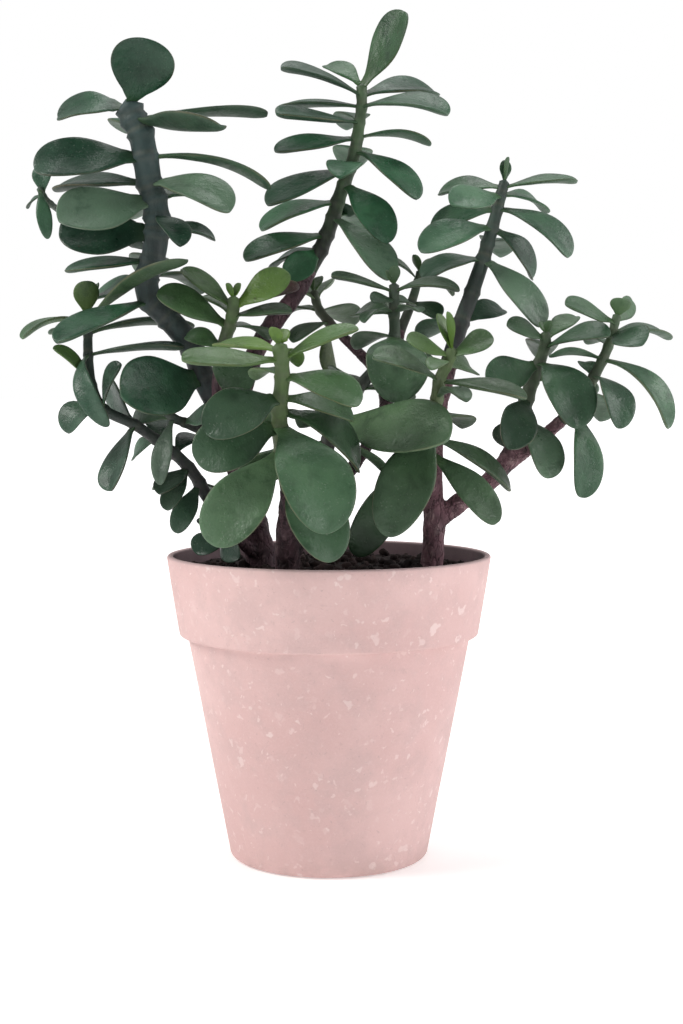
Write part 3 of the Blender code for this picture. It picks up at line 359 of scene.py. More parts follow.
# The darkest, the middle and the palest colour of each trunk's bark.
BARKS = {
    "trunk_left": ((0.036, 0.017, 0.024), (0.098, 0.048, 0.062), (0.26, 0.165, 0.18)),
    "trunk_right": ((0.060, 0.026, 0.034), (0.205, 0.102, 0.125), (0.42, 0.28, 0.29)),
    "trunk_front": ((0.030, 0.014, 0.019), (0.080, 0.039, 0.050), (0.21, 0.135, 0.145)),
}
LEAF_SEED = 11
# A leaf's mesh: rings along it and points round it, with the rings closer together towards the tip.
BIG_LEAF_LENGTH = 30
BIG_LEAF_GRID = (26, 22)
SMALL_LEAF_GRID = (16, 14)
RING_CROWDING = 1.15
LAST_RING_SHARE = 0.996
FULL_THICKNESS_SHARE = 0.35
THINNING_POWER = 0.6
UPPER_BELLY = 0.62
UPPER_ROUNDNESS, LOWER_ROUNDNESS = 0.9, 0.8
# Where a leaf clasps its stem it is wider and thicker.
CLASP_SPREAD = 0.035
CLASP_WIDENING = 0.35
CLASP_THICKENING = 0.25
# The small faults of growth, each drawn evenly between two values, in this order.
LEAF_FAULTS = {
    "lean": (-0.05, 0.05), "curl": (-0.025, 0.02), "twist": (-0.12, 0.12), "fold_roundness": (0.02, 0.16),
    "wave": (0.0, 0.035), "wave_turns": (0.8, 1.6), "wave_start": (0.0, 6.3), "bluntness": (1.9, 2.5),
}
LEAF_LIGHT = (0.1, 0.8)

STEM_SIDES = 16
STEM_RING_STEP = 1.5
STEM_OVERLAP = 0.6
STEM_TIP_SHARE = 0.8
# A stem swells at its joints, with a thin groove, the scar, at each side of the swelling.
BULGE_SPREAD, BULGE_SHARE = 1.7, 0.16
SCAR_OFFSET, SCAR_SPREAD, SCAR_SHARE = 2.1, 0.55, 0.05
STEM_ROUGHNESS_SHARE = 0.05

WOOD_SIDES = 20
WOOD_RING_STEP = 2.0
WOOD_LUMP_SHARE = 0.10
# Old leaf rings stand round the wood at an even spacing.
RING_SPACING, RING_SHIFT, RING_SPREAD, RING_SWELL = 11.0, 4.0, 1.6, 0.07
VOXEL_SIZE = 0.9
BARK_DEPTH = 0.55
BARK_RANGE = 0.7

POT_SEGMENTS = 160
POT_ARC_POINTS = 7
POT_PROFILE_STEP = 5.0
POT_AXIS_GAP = 0.5
POT_UNEVENNESS = 0.25
POT_EDGE_SPREAD = 0.9
# The body runs into the collar's foot through a small hollow.
COLLAR_HOLLOW_HEIGHT, COLLAR_HOLLOW_DEPTH = 0.8, 0.5

SOIL_SEGMENTS = 120
SOIL_RINGS = 44
SOIL_DEPTH = 14
SOIL_TOP_GAP, SOIL_FOOT_GAP = 0.35, 0.5
SOIL_LUMPS, SOIL_ROUGHNESS = 1.2, 0.5
MOUND_HEIGHT, MOUND_SPREAD = 1.6, 90.0

CRUMB_SEED = 5
CRUMB_COUNT = 620
CRUMB_SMALLEST, CRUMB_RANGE, CRUMB_RARITY = 0.7, 2.6, 2.6
CRUMB_STRETCH = (0.55, 1.25)
CRUMB_LUMPS = 0.45
CRUMB_RISE = 0.25
CRUMB_WALL_GAP = 1.2

# Light and camera, in metres, watts and degrees. The lamps point at the middle of the plant.
FLOOR_SIZE = 60.0
FLOOR_HEIGHT = -0.0003
FLOOR_GLOW = 0.30
FAR_FLOOR_GLOW = 0.95
SKY_FRONT = 0.29
SKY_BACK = 0.52
LAMP_TARGET = (0, 0, 0.2)
LAMPS = (
    ("key_left", (-1.3, -0.35, 1.25), 0.9, 18.0, (1.0, 0.985, 0.96)),
    ("fill_right", (1.4, 0.1, 0.9), 1.0, 9.0, (1.0, 0.97, 0.985)),
    ("window_right", (1.0, -0.8, 0.45), 0.22, 2.4, (1.0, 1.0, 1.0)),
    ("top_back", (0.1, 0.5, 1.7), 1.0, 7.0, (1.0, 1.0, 1.0)),
)
CAMERA_SENSOR = 36.0
CAMERA_FOCAL_PX = 1735.0
IMAGE_HEIGHT_PX = 1024
CAMERA_PITCH = 4.098
CAMERA_YAW = 0.413


def unit(vector):
    return vector / np.linalg.norm(vector)


def place(point):
    """The point in space that is seen at (x, height) and lies at its depth along the line of sight."""
    x, depth, height = point[:3]
    seen = np.array([x, 0.0, height], float)
    return EYE + (seen - EYE) * (depth - EYE[1]) / -EYE[1]


def smooth_line(points, step):
    """A smooth line through rows of (x, y, z, radius), with about one row for each step of length."""
    points = np.asarray(points, float)
    rows = []
    for i in range(len(points) - 1):
        start, end = points[i], points[i + 1]
        before = points[i - 1] if i else 2 * start - end
        after = points[i + 2] if i + 2 < len(points) else 2 * end - start
        count = max(1, int(round(np.linalg.norm((end - start)[:3]) / step)))
        for k in range(count):
            t = k / count
            rows.append(
                start
                + 0.5 * (end - before) * t
                + (before - 2.5 * start + 2 * end - 0.5 * after) * t**2
                + (1.5 * start - 0.5 * before - 1.5 * end + 0.5 * after) * t**3
            )
    rows.append(points[-1])
    return np.array(rows)


def stem_line(name):
    """Rows of (x, y, z, radius), one for each joint of the leafy stem."""
    joints = LEAFY_STEMS[name]["joints"]
    places = np.array([place(joint[0]) for joint in joints])
    return np.column_stack([places, np.linspace(*LEAFY_STEMS[name]["radius"], len(joints))])


def branch_line(branch):
    return np.array([np.append(place(row), row[3]) for row in branch])


def leaf_from(joint, stem_up, row, offset):
    """The leaf of this row, with its tip moved by the offset (depth, height)."""
    width, arch, turn, stalk = (tuple(row[3:]) + (None,) * 4)[:4]
    tip = place((row[0], row[1] + offset[0], row[2] + offset[1]))
    length = np.linalg.norm(tip - joint)
    along = (tip - joint) / length
    up = unit(stem_up) + np.array([0.0, 0.0, 1.0])
    face = unit(up - (up @ along) * along)
    if turn:
        front = np.cross(along, face)
        front *= -np.sign(front[1])
        angle = np.radians(turn)
        face = face * np.cos(angle) + front * np.sin(angle)
    return {
        "root": joint,
        "tip": tip,
        "face": face,
        "length": length,
        "width": width or np.clip(USUAL_LENGTH_TO_WIDTH * length, *USUAL_WIDTHS),
        "arch": USUAL_ARCH if arch is None else arch,
        "stalk": stalk or 0.0,
        "thickness": np.clip(THICKNESS_SHARE * length, *THICKNESSES),
    }


def leaf_directions(leaf, shares):
    """Points on the leaf's middle line, which arches up, with the sideways and face directions there."""
    root, tip = leaf["root"], leaf["tip"]
    bend = (root + tip) / 2 + leaf["face"] * 2 * leaf["arch"] * leaf["length"]
    s = np.asarray(shares)[:, None]
    line = (1 - s) ** 2 * root + 2 * s * (1 - s) * bend + s**2 * tip
    along = (1 - s) * (bend - root) + s * (tip - bend)
    along /= np.linalg.norm(along, axis=1, keepdims=True)
    side = np.cross(along, leaf["face"])
    side /= np.linalg.norm(side, axis=1, keepdims=True)
    return line, side, np.cross(side, along)


def half_width_share(shares, stalk=0.0, bluntness=2.0):
    """Half the leaf's width at shares of its length: a narrow stalk, widest past the middle, a round tip."""
    blade = np.clip((np.asarray(shares, float) - stalk) / (1 - stalk), 0, 1)
    power = SHOULDER_POWER / (1 + ROUNDER_BY_STALK * stalk)
    rise = np.sin(np.pi / 2 * np.clip(blade / WIDEST_SHARE, 0, 1)) ** power
    fall = np.clip((blade - WIDEST_SHARE) / (1 - WIDEST_SHARE), 0, 1)
    return (ROOT_WIDTH_SHARE + (1 - ROOT_WIDTH_SHARE) * rise) * np.sqrt(1 - fall**bluntness)


def leaf_samples(leaf):
    """Points spread over the leaf's middle surface, and how far along the leaf each one is."""
    shares = np.linspace(0, 1, max(4, int(leaf["length"] / SAMPLE_STEP)))
    across = np.linspace(-1, 1, max(3, int(leaf["width"] / SAMPLE_STEP) | 1))
    line, side, _ = leaf_directions(leaf, shares)
    half = half_width_share(np.clip(shares, 0, LAST_SAMPLE_SHARE), leaf["stalk"])
    half *= leaf["width"] / 2 - MARGIN_INSET
    points = line[:, None] + side[:, None] * (half[:, None] * across)[..., None]
    return points.reshape(-1, 3), np.repeat(shares, len(across)) * leaf["length"]


def crossing(points, far, half, owner, others):
    """How much the sampled leaf runs into the rows (x, y, z, half size, owner, how far along)."""
    low = points.min(axis=0) - SEARCH_REACH
    high = points.max(axis=0) + SEARCH_REACH
    near = others[np.all((others[:, :3] > low) & (others[:, :3] < high), axis=1)]
    if not len(near):
        return 0.0
    gaps = np.linalg.norm(points[:, None] - near[None, :, :3], axis=2)
    gaps -= half + near[:, 3] + CLEARANCE
    is_leaf = near[:, 5] >= 0
    sibling = (near[:, 4] == owner) & is_leaf
    close = (far[:, None] < CLUSTER_REACH) | (near[:, 5] < CLUSTER_REACH)
    own_stem = (near[:, 4] == owner) & ~is_leaf
    joined = (sibling & close) | (own_stem & (far[:, None] < OWN_STEM_REACH))
    return np.clip(-gaps[~joined], 0, None).sum()


def obstacle_rows(line, owner, far=-1.0):
    rows = np.empty((len(line), 6))
    rows[:, :4] = line
    rows[:, 4] = owner
    rows[:, 5] = far
    return rows


def lay_out_leaves():
    """Leaves of each leafy stem by name, each bent clear of the stems and of the leaves before it."""
    obstacles = []
    for owner, name in enumerate(LEAFY_STEMS):
        obstacles.append(obstacle_rows(smooth_line(stem_line(name), STEM_SAMPLE_STEP), owner))
    for branches in TRUNKS.values():
        for branch in branches:
            obstacles.append(obstacle_rows(smooth_line(branch_line(branch), STEM_SAMPLE_STEP), -1))
    offsets = [(depth, height) for depth in DEPTH_OFFSETS for height in HEIGHT_OFFSETS]
    offsets.sort(key=lambda o: (abs(o[0]) + HEIGHT_COST * abs(o[1]), o))
    leaves = {}
    for owner, (name, stem) in enumerate(LEAFY_STEMS.items()):
        line = stem_line(name)[:, :3]
        leaves[name] = []
        for j, (_, rows) in enumerate(stem["joints"]):
            stem_up = line[min(j + 1, len(line) - 1)] - line[max(j - 1, 0)]
            for row in rows:
                others = np.concatenate(obstacles)
                tries = []
                for offset in offsets:
                    leaf = leaf_from(line[j], stem_up, row, offset)
                    points, far = leaf_samples(leaf)
                    half = leaf["thickness"] / 2
                    tries.append((crossing(points, far, half, owner, others), len(tries), leaf))
                    if tries[-1][0] == 0:
                        break
                leaf = min(tries)[2] if tries[-1][0] else tries[-1][2]
                leaves[name].append(leaf)
                points, far = leaf_samples(leaf)
                sizes = np.full((len(points), 1), leaf["thickness"] / 2)
                obstacles.append(obstacle_rows(np.hstack([points, sizes]), owner, far))
    return leaves


def circle(sides):
    """Points round a circle of radius 1, as rows of (across, up)."""
    theta = 2 * np.pi * np.arange(sides) / sides
    return np.column_stack([np.cos(theta), np.sin(theta)])


def level_ring(radius, height, sides):
    """A level ring round Z. The radius is one number, or one for each point."""
    return np.column_stack([circle(sides) * np.reshape(radius, (-1, 1)), np.full(sides, height)])


def ring_noise(sides, spread, level):
    """Smooth noise round a ring. The spread says how fast it changes there, and the level moves on."""
    return np.array([noise.noise(Vector((x * spread, y * spread, level))) for x, y in circle(sides)])


def lengths_along(line):
    steps = np.linalg.norm(np.diff(line[:, :3], axis=0), axis=1)
    return np.concatenate([[0], np.cumsum(steps)])


def tube_rings(line, radii, start=None):
    """Rings round a line, with a radius for each point, and the direction in which the line ends."""
    rings = []
    for k, radius in enumerate(radii):
        ahead = unit(line[min(k + 1, len(line) - 1), :3] - line[max(k - 1, 0), :3])
        if k == 0 and start is not None:
            ahead = start
        across = unit(np.array([1.0, 0.0, 0.0]) - ahead[0] * ahead)
        turn = circle(len(radius)) @ np.array([across, np.cross(ahead, across)])
        rings.append(line[k, :3] + radius[:, None] * turn)
    return rings, ahead


def loft_faces(rings, count, tip=False):
    """Faces through rings of points, with a flat first end and a last end that is flat or drawn to a tip."""
    faces = []
    last = (rings - 1) * count
    for start in range(0, last, count):
        for i in range(count):
            j = (i + 1) % count
            faces.append((start + i, start + j, start + count + j, start + count + i))
    faces.append(tuple(range(count - 1, -1, -1)))
    if tip:
        faces += [(last + i, last + (i + 1) % count, last + count) for i in range(count)]
    else:
        faces.append(tuple(range(last, last + count)))
    return faces


def link(name, data):
    body = bpy.data.objects.new(name, data)
    bpy.context.scene.collection.objects.link(body)
    return body


def set_vectors(mesh, key, rows):
    layer = mesh.attributes.get(key) or mesh.attributes.new(key, "FLOAT_VECTOR", "POINT")
    layer.data.foreach_set("vector", np.asarray(rows, np.float32).ravel())


class Shells:
    """Closed shells that are gathered into one mesh, with two vectors at each point for its material."""

    def __init__(self):
        self.points, self.faces, self.slots, self.place, self.kind = [], [], [], [], []
        self.count = 0

    def add(self, rings, faces, slot=0, place=(0, 0, 0), kind=(0, 0, 0)):
        """Adds a shell from rings of points. A vector is one for all points, or one for each."""
        points = np.concatenate(rings)
        self.points.append(points)
        self.faces += [tuple(i + self.count for i in face) for face in faces]
        self.slots += [slot] * len(faces)
        self.place.append(np.broadcast_to(place, (len(points), 3)))
        self.kind.append(np.broadcast_to(kind, (len(points), 3)))
        self.count += len(points)

    def build(self, name, materials=()):
        mesh = bpy.data.meshes.new(name)
        mesh.from_pydata(np.concatenate(self.points) * MM, [], self.faces)
        mesh.polygons.foreach_set("material_index", self.slots)
        set_vectors(mesh, "place", np.concatenate(self.place))
        set_vectors(mesh, "kind", np.concatenate(self.kind))
        for material in materials:
            mesh.materials.append(material)
        mesh.shade_smooth()
        mesh.update()
        return link(name, mesh)


class Graph:
    """A short way to write the nodes of a material or a world, and the colour and normal so far."""

    def __init__(self, owner, shader="Principled BSDF"):
        owner.use_nodes = True
        self.owner, self.tree = owner, owner.node_tree
        self.shader = self.tree.nodes[shader]
        self.colour = self.normal = None

    def node(self, kind, inputs=None, **settings):
        made = self.tree.nodes.new(kind)
        for key, value in settings.items():
            setattr(made, key, value)
        for key, value in (inputs or {}).items():
            self.put(made.inputs[key], value)
        return made

    def put(self, socket, value):
        if isinstance(value, bpy.types.NodeSocket):
            self.tree.links.new(value, socket)
        elif isinstance(value, tuple) and len(value) == 3 and len(socket.default_value) == 4:
            socket.default_value = (*value, 1.0)
        else:
            socket.default_value = value

    def split(self, vector):
        return self.node("ShaderNodeSeparateXYZ", {0: vector}).outputs[:]

    def channels(self, colour):
        return self.node("ShaderNodeSeparateColor", {0: colour}).outputs[:]

    def attribute(self, name):
        return self.split(self.node("ShaderNodeAttribute", attribute_name=name).outputs["Vector"])

    def vector(self, operation, a, b):
        return self.node("ShaderNodeVectorMath", {0: a, 1: b}, operation=operation).outputs[0]

    def coordinates(self, scale=None, warp=0.0, warp_scale=100.0):
        """Places on the object in metres, pushed about by noise and then scaled."""
        spot = self.node("ShaderNodeTexCoord").outputs["Object"]
        if warp:
            shift = self.node("ShaderNodeTexNoise", {"Vector": spot, "Scale": warp_scale, "Detail": 2.0})
            centred = self.vector("SUBTRACT", shift.outputs["Color"], (0.5, 0.5, 0.5))
            sized = self.node("ShaderNodeVectorMath", {0: centred, "Scale": warp}, operation="SCALE")
            spot = self.vector("ADD", spot, sized.outputs[0])
        return self.vector("MULTIPLY", spot, scale) if scale else spot

    def noise(self, scale, detail=3.0, rough=0.5, at=None):
        inputs = {"Scale": scale, "Detail": detail, "Roughness": rough, "Vector": at or self.coordinates()}
        return self.node("ShaderNodeTexNoise", inputs).outputs[0]

    def cells(self, scale, at=None, feature="F1"):
        inputs = {"Scale": scale, "Vector": at or self.coordinates()}
        return self.node("ShaderNodeTexVoronoi", inputs, feature=feature).outputs

    def math(self, operation, a, b=0.0, clamp=False):
        return self.node("ShaderNodeMath", {0: a, 1: b}, operation=operation, use_clamp=clamp).outputs[0]

    def times(self, a, b):
        return self.math("MULTIPLY", a, b)

    def span(self, value, low, high, start=0.0, end=1.0, smooth=True):
        inputs = {"Value": value, "From Min": low, "From Max": high, "To Min": start, "To Max": end}
        kind = "SMOOTHSTEP" if smooth else "LINEAR"
        return self.node("ShaderNodeMapRange", inputs, interpolation_type=kind).outputs[0]

    def mix(self, share, a, b):
        return self.node("ShaderNodeMix", {0: share, 6: a, 7: b}, data_type="RGBA").outputs[2]

    def tint(self, mask, colour, share=None):
        """Lays a colour over the one so far, where the mask is and up to the share."""
        self.colour = self.mix(mask if share is None else self.times(mask, share), self.colour, colour)

    def bump(self, height, distance):
        made = self.node("ShaderNodeBump", {"Height": height, "Distance": distance, "Strength": 1.0})
        if self.normal is not None:
            self.put(made.inputs["Normal"], self.normal)
        self.normal = made.outputs[0]

    def finish(self, roughness, more=()):
        inputs = {"Base Color": self.colour, "Roughness": roughness, **dict(more)}
        if self.normal is not None:
            inputs["Normal"] = self.normal
        for key, value in inputs.items():
            self.put(self.shader.inputs[key], value)
        return self.owner


def material(name):
    return Graph(bpy.data.materials.new(name))


def shade(colour, share, lift=0.0):
    return tuple(c * share + lift for c in colour)


LEAF_FOOT = (0.070, 0.120, 0.040)
# Wax bloom together with a painted sheen, laid towards the leaf tips.
LEAF_WAX_AND_SHEEN = (0.100, 0.150, 0.120)
LEAF_YOUNG = (0.105, 0.195, 0.026)
LEAF_FLUSH = (0.060, 0.022, 0.020)
# A pale grey film on some leaves: partly wax bloom, partly painted sheen.
LEAF_FILM_AND_SHEEN = (0.115, 0.160, 0.118)
LEAF_PORE = (0.20, 0.26, 0.19)
LEAF_NICK = (0.035, 0.030, 0.018)
LEAF_MARGIN = (0.150, 0.115, 0.062)
LEAF_SPECULAR = 0.32


def leaf_material(name, top, under):
    g = material(name)
    across, along, upper = g.attribute("place")
    light, youth, red = g.attribute("kind")
    broad = g.noise(55.0, 2.0)
    on_top = g.span(upper, 0.42, 0.62)
    pale_top = (top[0] * 1.75 + 0.004, top[1] * 1.65 + 0.006, top[2] * 1.6 + 0.003)
    below = g.mix(g.span(broad, 0.4, 0.65), under, shade(under, 0.7))
    g.colour = g.mix(on_top, below, g.mix(g.span(broad, 0.35, 0.68), top, pale_top))
    g.tint(g.span(g.noise(330.0, 4.0, 0.6), 0.35, 0.75), shade(top, 1.6, 0.004), 0.40)
    # The blade is paler where it narrows to the stem, and greyer towards its tip with wax bloom and a
    # painted sheen.
    g.tint(g.span(along, 0.28, 0.02, 0.0, 0.5), LEAF_FOOT)
    g.tint(g.times(g.span(along, 0.45, 1.0), g.span(broad, 0.35, 0.7)), LEAF_WAX_AND_SHEEN, 0.26)
    g.tint(g.times(youth, g.span(along, 0.0, 0.9, 0.95, 0.62)), LEAF_YOUNG)
    g.tint(g.times(red, g.span(upper, 0.8, 0.1, 0.35, 1.0)), LEAF_FLUSH)
    # Where red is below 0: a pale grey film, partly wax bloom and partly painted sheen.
    g.tint(g.math("MULTIPLY", red, -1.0, clamp=True), LEAF_FILM_AND_SHEEN)
    # Darker clouds, then each leaf's lightness (its tone, with painted shade and light): a darker leaf is a
    # little bluer.
    cloud = g.noise(95.0, 4.0, 0.6, g.coordinates(warp=0.01, warp_scale=60.0))
    g.tint(g.span(cloud, 0.50, 0.72), shade(top, 0.55), 0.55)
    tone = g.span(light, 0.0, 1.0, 0.52, 1.42, smooth=False)
    hue = g.span(light, 0.0, 1.0, 0.512, 0.488, smooth=False)
    g.colour = g.node("ShaderNodeHueSaturation", {"Color": g.colour, "Value": tone, "Hue": hue}).outputs[0]
    # Fine pale pores, a few dark nicks, and a thin flushed line along the margin.
    pore = g.times(g.span(g.cells(620.0)["Distance"], 0.26, 0.12), g.span(g.noise(90.0, 1.0), 0.4, 0.62))
    g.tint(pore, LEAF_PORE, 0.16)
    nicks = g.cells(150.0, g.coordinates(warp=0.003, warp_scale=400.0))
    few = g.math("GREATER_THAN", g.channels(nicks["Color"])[0], 0.93)
    g.tint(g.times(few, g.span(nicks["Distance"], 0.16, 0.06)), LEAF_NICK, 0.55)
    rim = g.times(g.span(g.math("ABSOLUTE", across), 0.955, 0.992), g.span(along, 0.12, 0.4))
    g.tint(g.times(rim, g.span(g.noise(40.0, 2.0), 0.35, 0.65, 0.05, 0.42)), LEAF_MARGIN)
    for height, distance in ((broad, 0.0015), (g.noise(420.0, 3.0, 0.6), 0.00035),
                             (g.noise(900.0, 3.0, 0.6), 0.00012), (pore, 0.00010)):
        g.bump(height, distance)
    satin = g.span(g.noise(140.0, 3.0), 0.3, 0.7, 0.27, 0.42)
    roughness = g.math("ADD", satin, g.span(on_top, 0.0, 1.0, 0.20, 0.0))
    return g.finish(roughness, {"Specular IOR Level": LEAF_SPECULAR})


def stem_material(name, low, high):
    g = material(name)
    along, scar, _ = g.attribute("place")
    streak = g.noise(260.0, 4.0, 0.6, g.coordinates((1.0, 1.0, 0.25)))
    g.colour = g.mix(g.span(along, 0.05, 0.85), low, high)
    g.tint(g.span(streak, 0.4, 0.7), shade(high, 1.5, 0.008), 0.5)
    g.tint(g.span(g.noise(120.0, 3.0), 0.45, 0.7), shade(low, 0.5), 0.45)
    g.tint(scar, (0.120, 0.120, 0.080), 0.35)
    g.bump(streak, 0.0006)
    g.bump(g.noise(900.0, 3.0), 0.00018)
    return g.finish(g.span(streak, 0.3, 0.7, 0.5, 0.72))


def bark_material(name, dark, middle, pale):
    g = material(name)
    relief = g.attribute("place")[0]
    flake_at = g.coordinates((1.0, 1.0, 0.45), 0.004, 300.0)
    broad = g.noise(90.0, 4.0, 0.6)
    fine = g.noise(700.0, 5.0, 0.65, g.coordinates((1.0, 1.0, 0.3)))
    g.colour = g.mix(g.span(broad, 0.35, 0.65), dark, middle)
    g.tint(g.span(g.channels(g.cells(260.0, flake_at)["Color"])[0], 0.55, 1.0, 0.0, 0.6), middle)
    g.tint(g.span(relief, 0.52, 0.85), pale, 0.75)
    g.tint(g.span(fine, 0.5, 0.8), pale, 0.5)
    g.tint(g.span(relief, 0.42, 0.15, 0.0, 0.8), shade(dark, 0.4))
    g.bump(g.span(g.cells(260.0, flake_at, "DISTANCE_TO_EDGE")["Distance"], 0.0, 0.12), 0.0005)
    g.bump(fine, 0.0004)
    return g.finish(g.span(broad, 0.3, 0.7, 0.62, 0.88))


# The flecks in the clay: cells to the metre, the share of cells left plain, strength and colour.
POT_FLECKS = (
    (150.0, 0.84, 0.50, (0.88, 0.74, 0.71)), (230.0, 0.78, 0.45, (0.87, 0.73, 0.70)),
    (340.0, 0.72, 0.45, (0.88, 0.73, 0.70)), (520.0, 0.84, 0.30, (0.54, 0.36, 0.35)),
    (900.0, 0.88, 0.35, (0.44, 0.31, 0.31)),
)


def pot_material():
    g = material("pot_clay")
    warped = g.coordinates(warp=0.009, warp_scale=200.0)
    cloudy = g.noise(60.0, 4.0, 0.6)
    fine = g.noise(1100.0, 4.0, 0.65)
    broad = g.span(g.noise(16.0, 4.0, 0.55), 0.35, 0.65)
    g.colour = g.mix(broad, (0.66, 0.435, 0.418), (0.72, 0.497, 0.478))
    g.tint(g.span(cloudy, 0.42, 0.68), (0.60, 0.425, 0.412), 0.55)
    g.tint(g.span(fine, 0.45, 0.75), (0.80, 0.61, 0.60), 0.25)
    bumps = None
    for scale, keep, strength, colour in POT_FLECKS:
        flecks = g.cells(scale, warped)
        chosen, large, strong = g.channels(flecks["Color"])
        depth = g.math("SUBTRACT", g.span(large, 0.0, 1.0, 0.16, 0.42, smooth=False), flecks["Distance"])
        fleck = g.times(g.math("GREATER_THAN", chosen, keep), g.span(depth, -0.03, 0.10))
        fleck = g.times(fleck, g.span(strong, 0.0, 1.0, 0.25, 1.0))
        g.tint(fleck, colour, strength)
        bumps = fleck if bumps is None else g.math("ADD", bumps, fleck)
    # The inside is darkened: soil stain and painted shade. The rim's top edge is darker and greyer, the foot
    # a little darker.
    _, inner, edge = g.attribute("place")
    # Painted shade together with a stain of soil darkens the inside.
    g.tint(inner, (0.070, 0.038, 0.050), 0.92)
    # The rim's top edge is darker and greyer.
    g.tint(edge, (0.46, 0.34, 0.345), 0.75)
    # Darker and browner towards the foot, in cloudy patches.
    darker_foot = g.times(g.span(g.split(g.coordinates())[2], 0.012, 0.0), g.span(cloudy, 0.35, 0.6))
    g.tint(darker_foot, (0.50, 0.34, 0.31), 0.35)
    for height, distance in ((cloudy, 0.0005), (fine, 0.00022), (bumps, 0.00006)):
        g.bump(height, distance)
    return g.finish(g.span(cloudy, 0.3, 0.7, 0.62, 0.80))


def soil_material(name, chips=False):
    """Near-black soil. Where it has chips, each shell's own light says how pale it is."""
    g = material(name)
    light = g.attribute("kind")[0]
    broad = g.noise(160.0, 4.0, 0.6)
    fine = g.noise(1300.0, 5.0, 0.7)
    g.colour = g.mix(g.span(broad, 0.35, 0.65), (0.007, 0.004, 0.004), (0.021, 0.012, 0.011))
    g.tint(g.span(fine, 0.5, 0.75), (0.046, 0.029, 0.027), 0.5)
    if chips:
        g.tint(g.span(light, 0.55, 1.0, 0.0, 0.8), (0.045, 0.028, 0.027))
        g.tint(g.math("GREATER_THAN", light, 0.97), (0.10, 0.075, 0.068))
    g.bump(fine, 0.0005)
    g.bump(broad, 0.0012)
    return g.finish(g.span(fine, 0.3, 0.7, 0.78, 0.97), {"Specular IOR Level": 0.2})


def stand_in(piece, node):
    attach(piece, "root")
    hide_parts(node)


def add_leaf(shells, leaf, slot, kind, stem_radius, rng):
    """A thick blade folded along its middle, with rounded margins and the small faults of growth."""
    ring_count, sides = BIG_LEAF_GRID if leaf["length"] > BIG_LEAF_LENGTH else SMALL_LEAF_GRID
    shares = np.sin(np.linspace(0, 1, ring_count) * np.pi / 2) ** RING_CROWDING * LAST_RING_SHARE
    line, side, face = leaf_directions(leaf, shares)
    length, width = leaf["length"], leaf["width"]
    lean, curl, twist, roundness, wave, wave_turns, wave_start, bluntness = (
        rng.uniform(*limits) for limits in LEAF_FAULTS.values())
    half = half_width_share(shares, leaf["stalk"], bluntness) * width / 2
    clasp = np.exp(-(((shares - stem_radius / length) / CLASP_SPREAD) ** 2))
    thick = np.clip(half / (FULL_THICKNESS_SHARE * width), 0, 1) ** THINNING_POWER * leaf["thickness"] / 2
    u, v = circle(sides).T
    high = np.where(v >= 0, UPPER_BELLY * np.abs(v) ** UPPER_ROUNDNESS, -np.abs(v) ** LOWER_ROUNDNESS)
    fold = (np.sqrt(u * u + roundness) - np.sqrt(roundness)) / (np.sqrt(1 + roundness) - np.sqrt(roundness))
    rings, marks = [], []
    for k, share in enumerate(shares):
        angle = twist * share
        across = side[k] * np.cos(angle) + face[k] * np.sin(angle)
        up = face[k] * np.cos(angle) - side[k] * np.sin(angle)
        middle = line[k] + up * (curl * length * share**4)
        ripple = wave * width * np.sin(2 * np.pi * wave_turns * share + wave_start + u) * u * u * share
        rise = high * thick[k] * (1 + CLASP_THICKENING * clasp[k]) + 2 * CUP_SHARE * half[k] * share * fold
        out = half[k] * (1 + CLASP_WIDENING * clasp[k]) * u * (1 + lean * np.sign(u))
        rings.append(middle + np.outer(out, across) + np.outer(rise + ripple, up))
        marks.append(np.column_stack([u, np.full(sides, share), 0.5 + 0.5 * v]))
    rings.append([leaf["tip"] + face[-1] * curl * length])
    marks.append([(0, 1, 0.5)])
    shells.add(rings, loft_faces(ring_count, sides, tip=True), slot, np.concatenate(marks), kind)


def add_stem(shells, name, slot, start):
    """A green stem, swollen at its joints, with a thin scar round it above and below each one."""
    joints = stem_line(name)
    line = smooth_line(joints, STEM_RING_STEP)
    if start is not None:
        line[0, :3] -= start * STEM_OVERLAP
    along = lengths_along(line)
    swollen = [along[np.argmin(np.linalg.norm(line[:, :3] - joint[:3], axis=1))] for joint in joints[1:]]
    gap = np.abs(along[:, None] - np.array(swollen)).min(axis=1)
    bulge = np.exp(-((gap / BULGE_SPREAD) ** 2))
    scar = np.exp(-(((gap - SCAR_OFFSET) / SCAR_SPREAD) ** 2))
    rough = np.array([ring_noise(STEM_SIDES, 1.2, far * 0.13) for far in along])
    swell = 1 + BULGE_SHARE * bulge - SCAR_SHARE * scar
    radii = line[:, 3:] * (swell[:, None] + STEM_ROUGHNESS_SHARE * rough)
    rings, ahead = tube_rings(line, radii, start)
    rings.append([line[-1, :3] + ahead * line[-1, 3] * STEM_TIP_SHARE])
    marks = np.repeat(np.column_stack([along / along[-1], scar, 0 * scar]), STEM_SIDES, axis=0)
    marks = np.vstack([marks, (1, 0, 0)])
    shells.add(rings, loft_faces(len(line), STEM_SIDES, tip=True), slot, marks)


def wood_end_directions():
    """The direction in which each branch ends, by the place of its end."""
    ends = {}
    for branches in TRUNKS.values():
        for branch in branches:
            line = smooth_line(branch_line(branch), WOOD_STEP)
            ends[branch[-1][:3]] = unit(line[-1, :3] - line[-2, :3])
    return ends


def smoothstep(x):
    x = np.clip(x, 0, 1)
    return x * x * (3 - 2 * x)


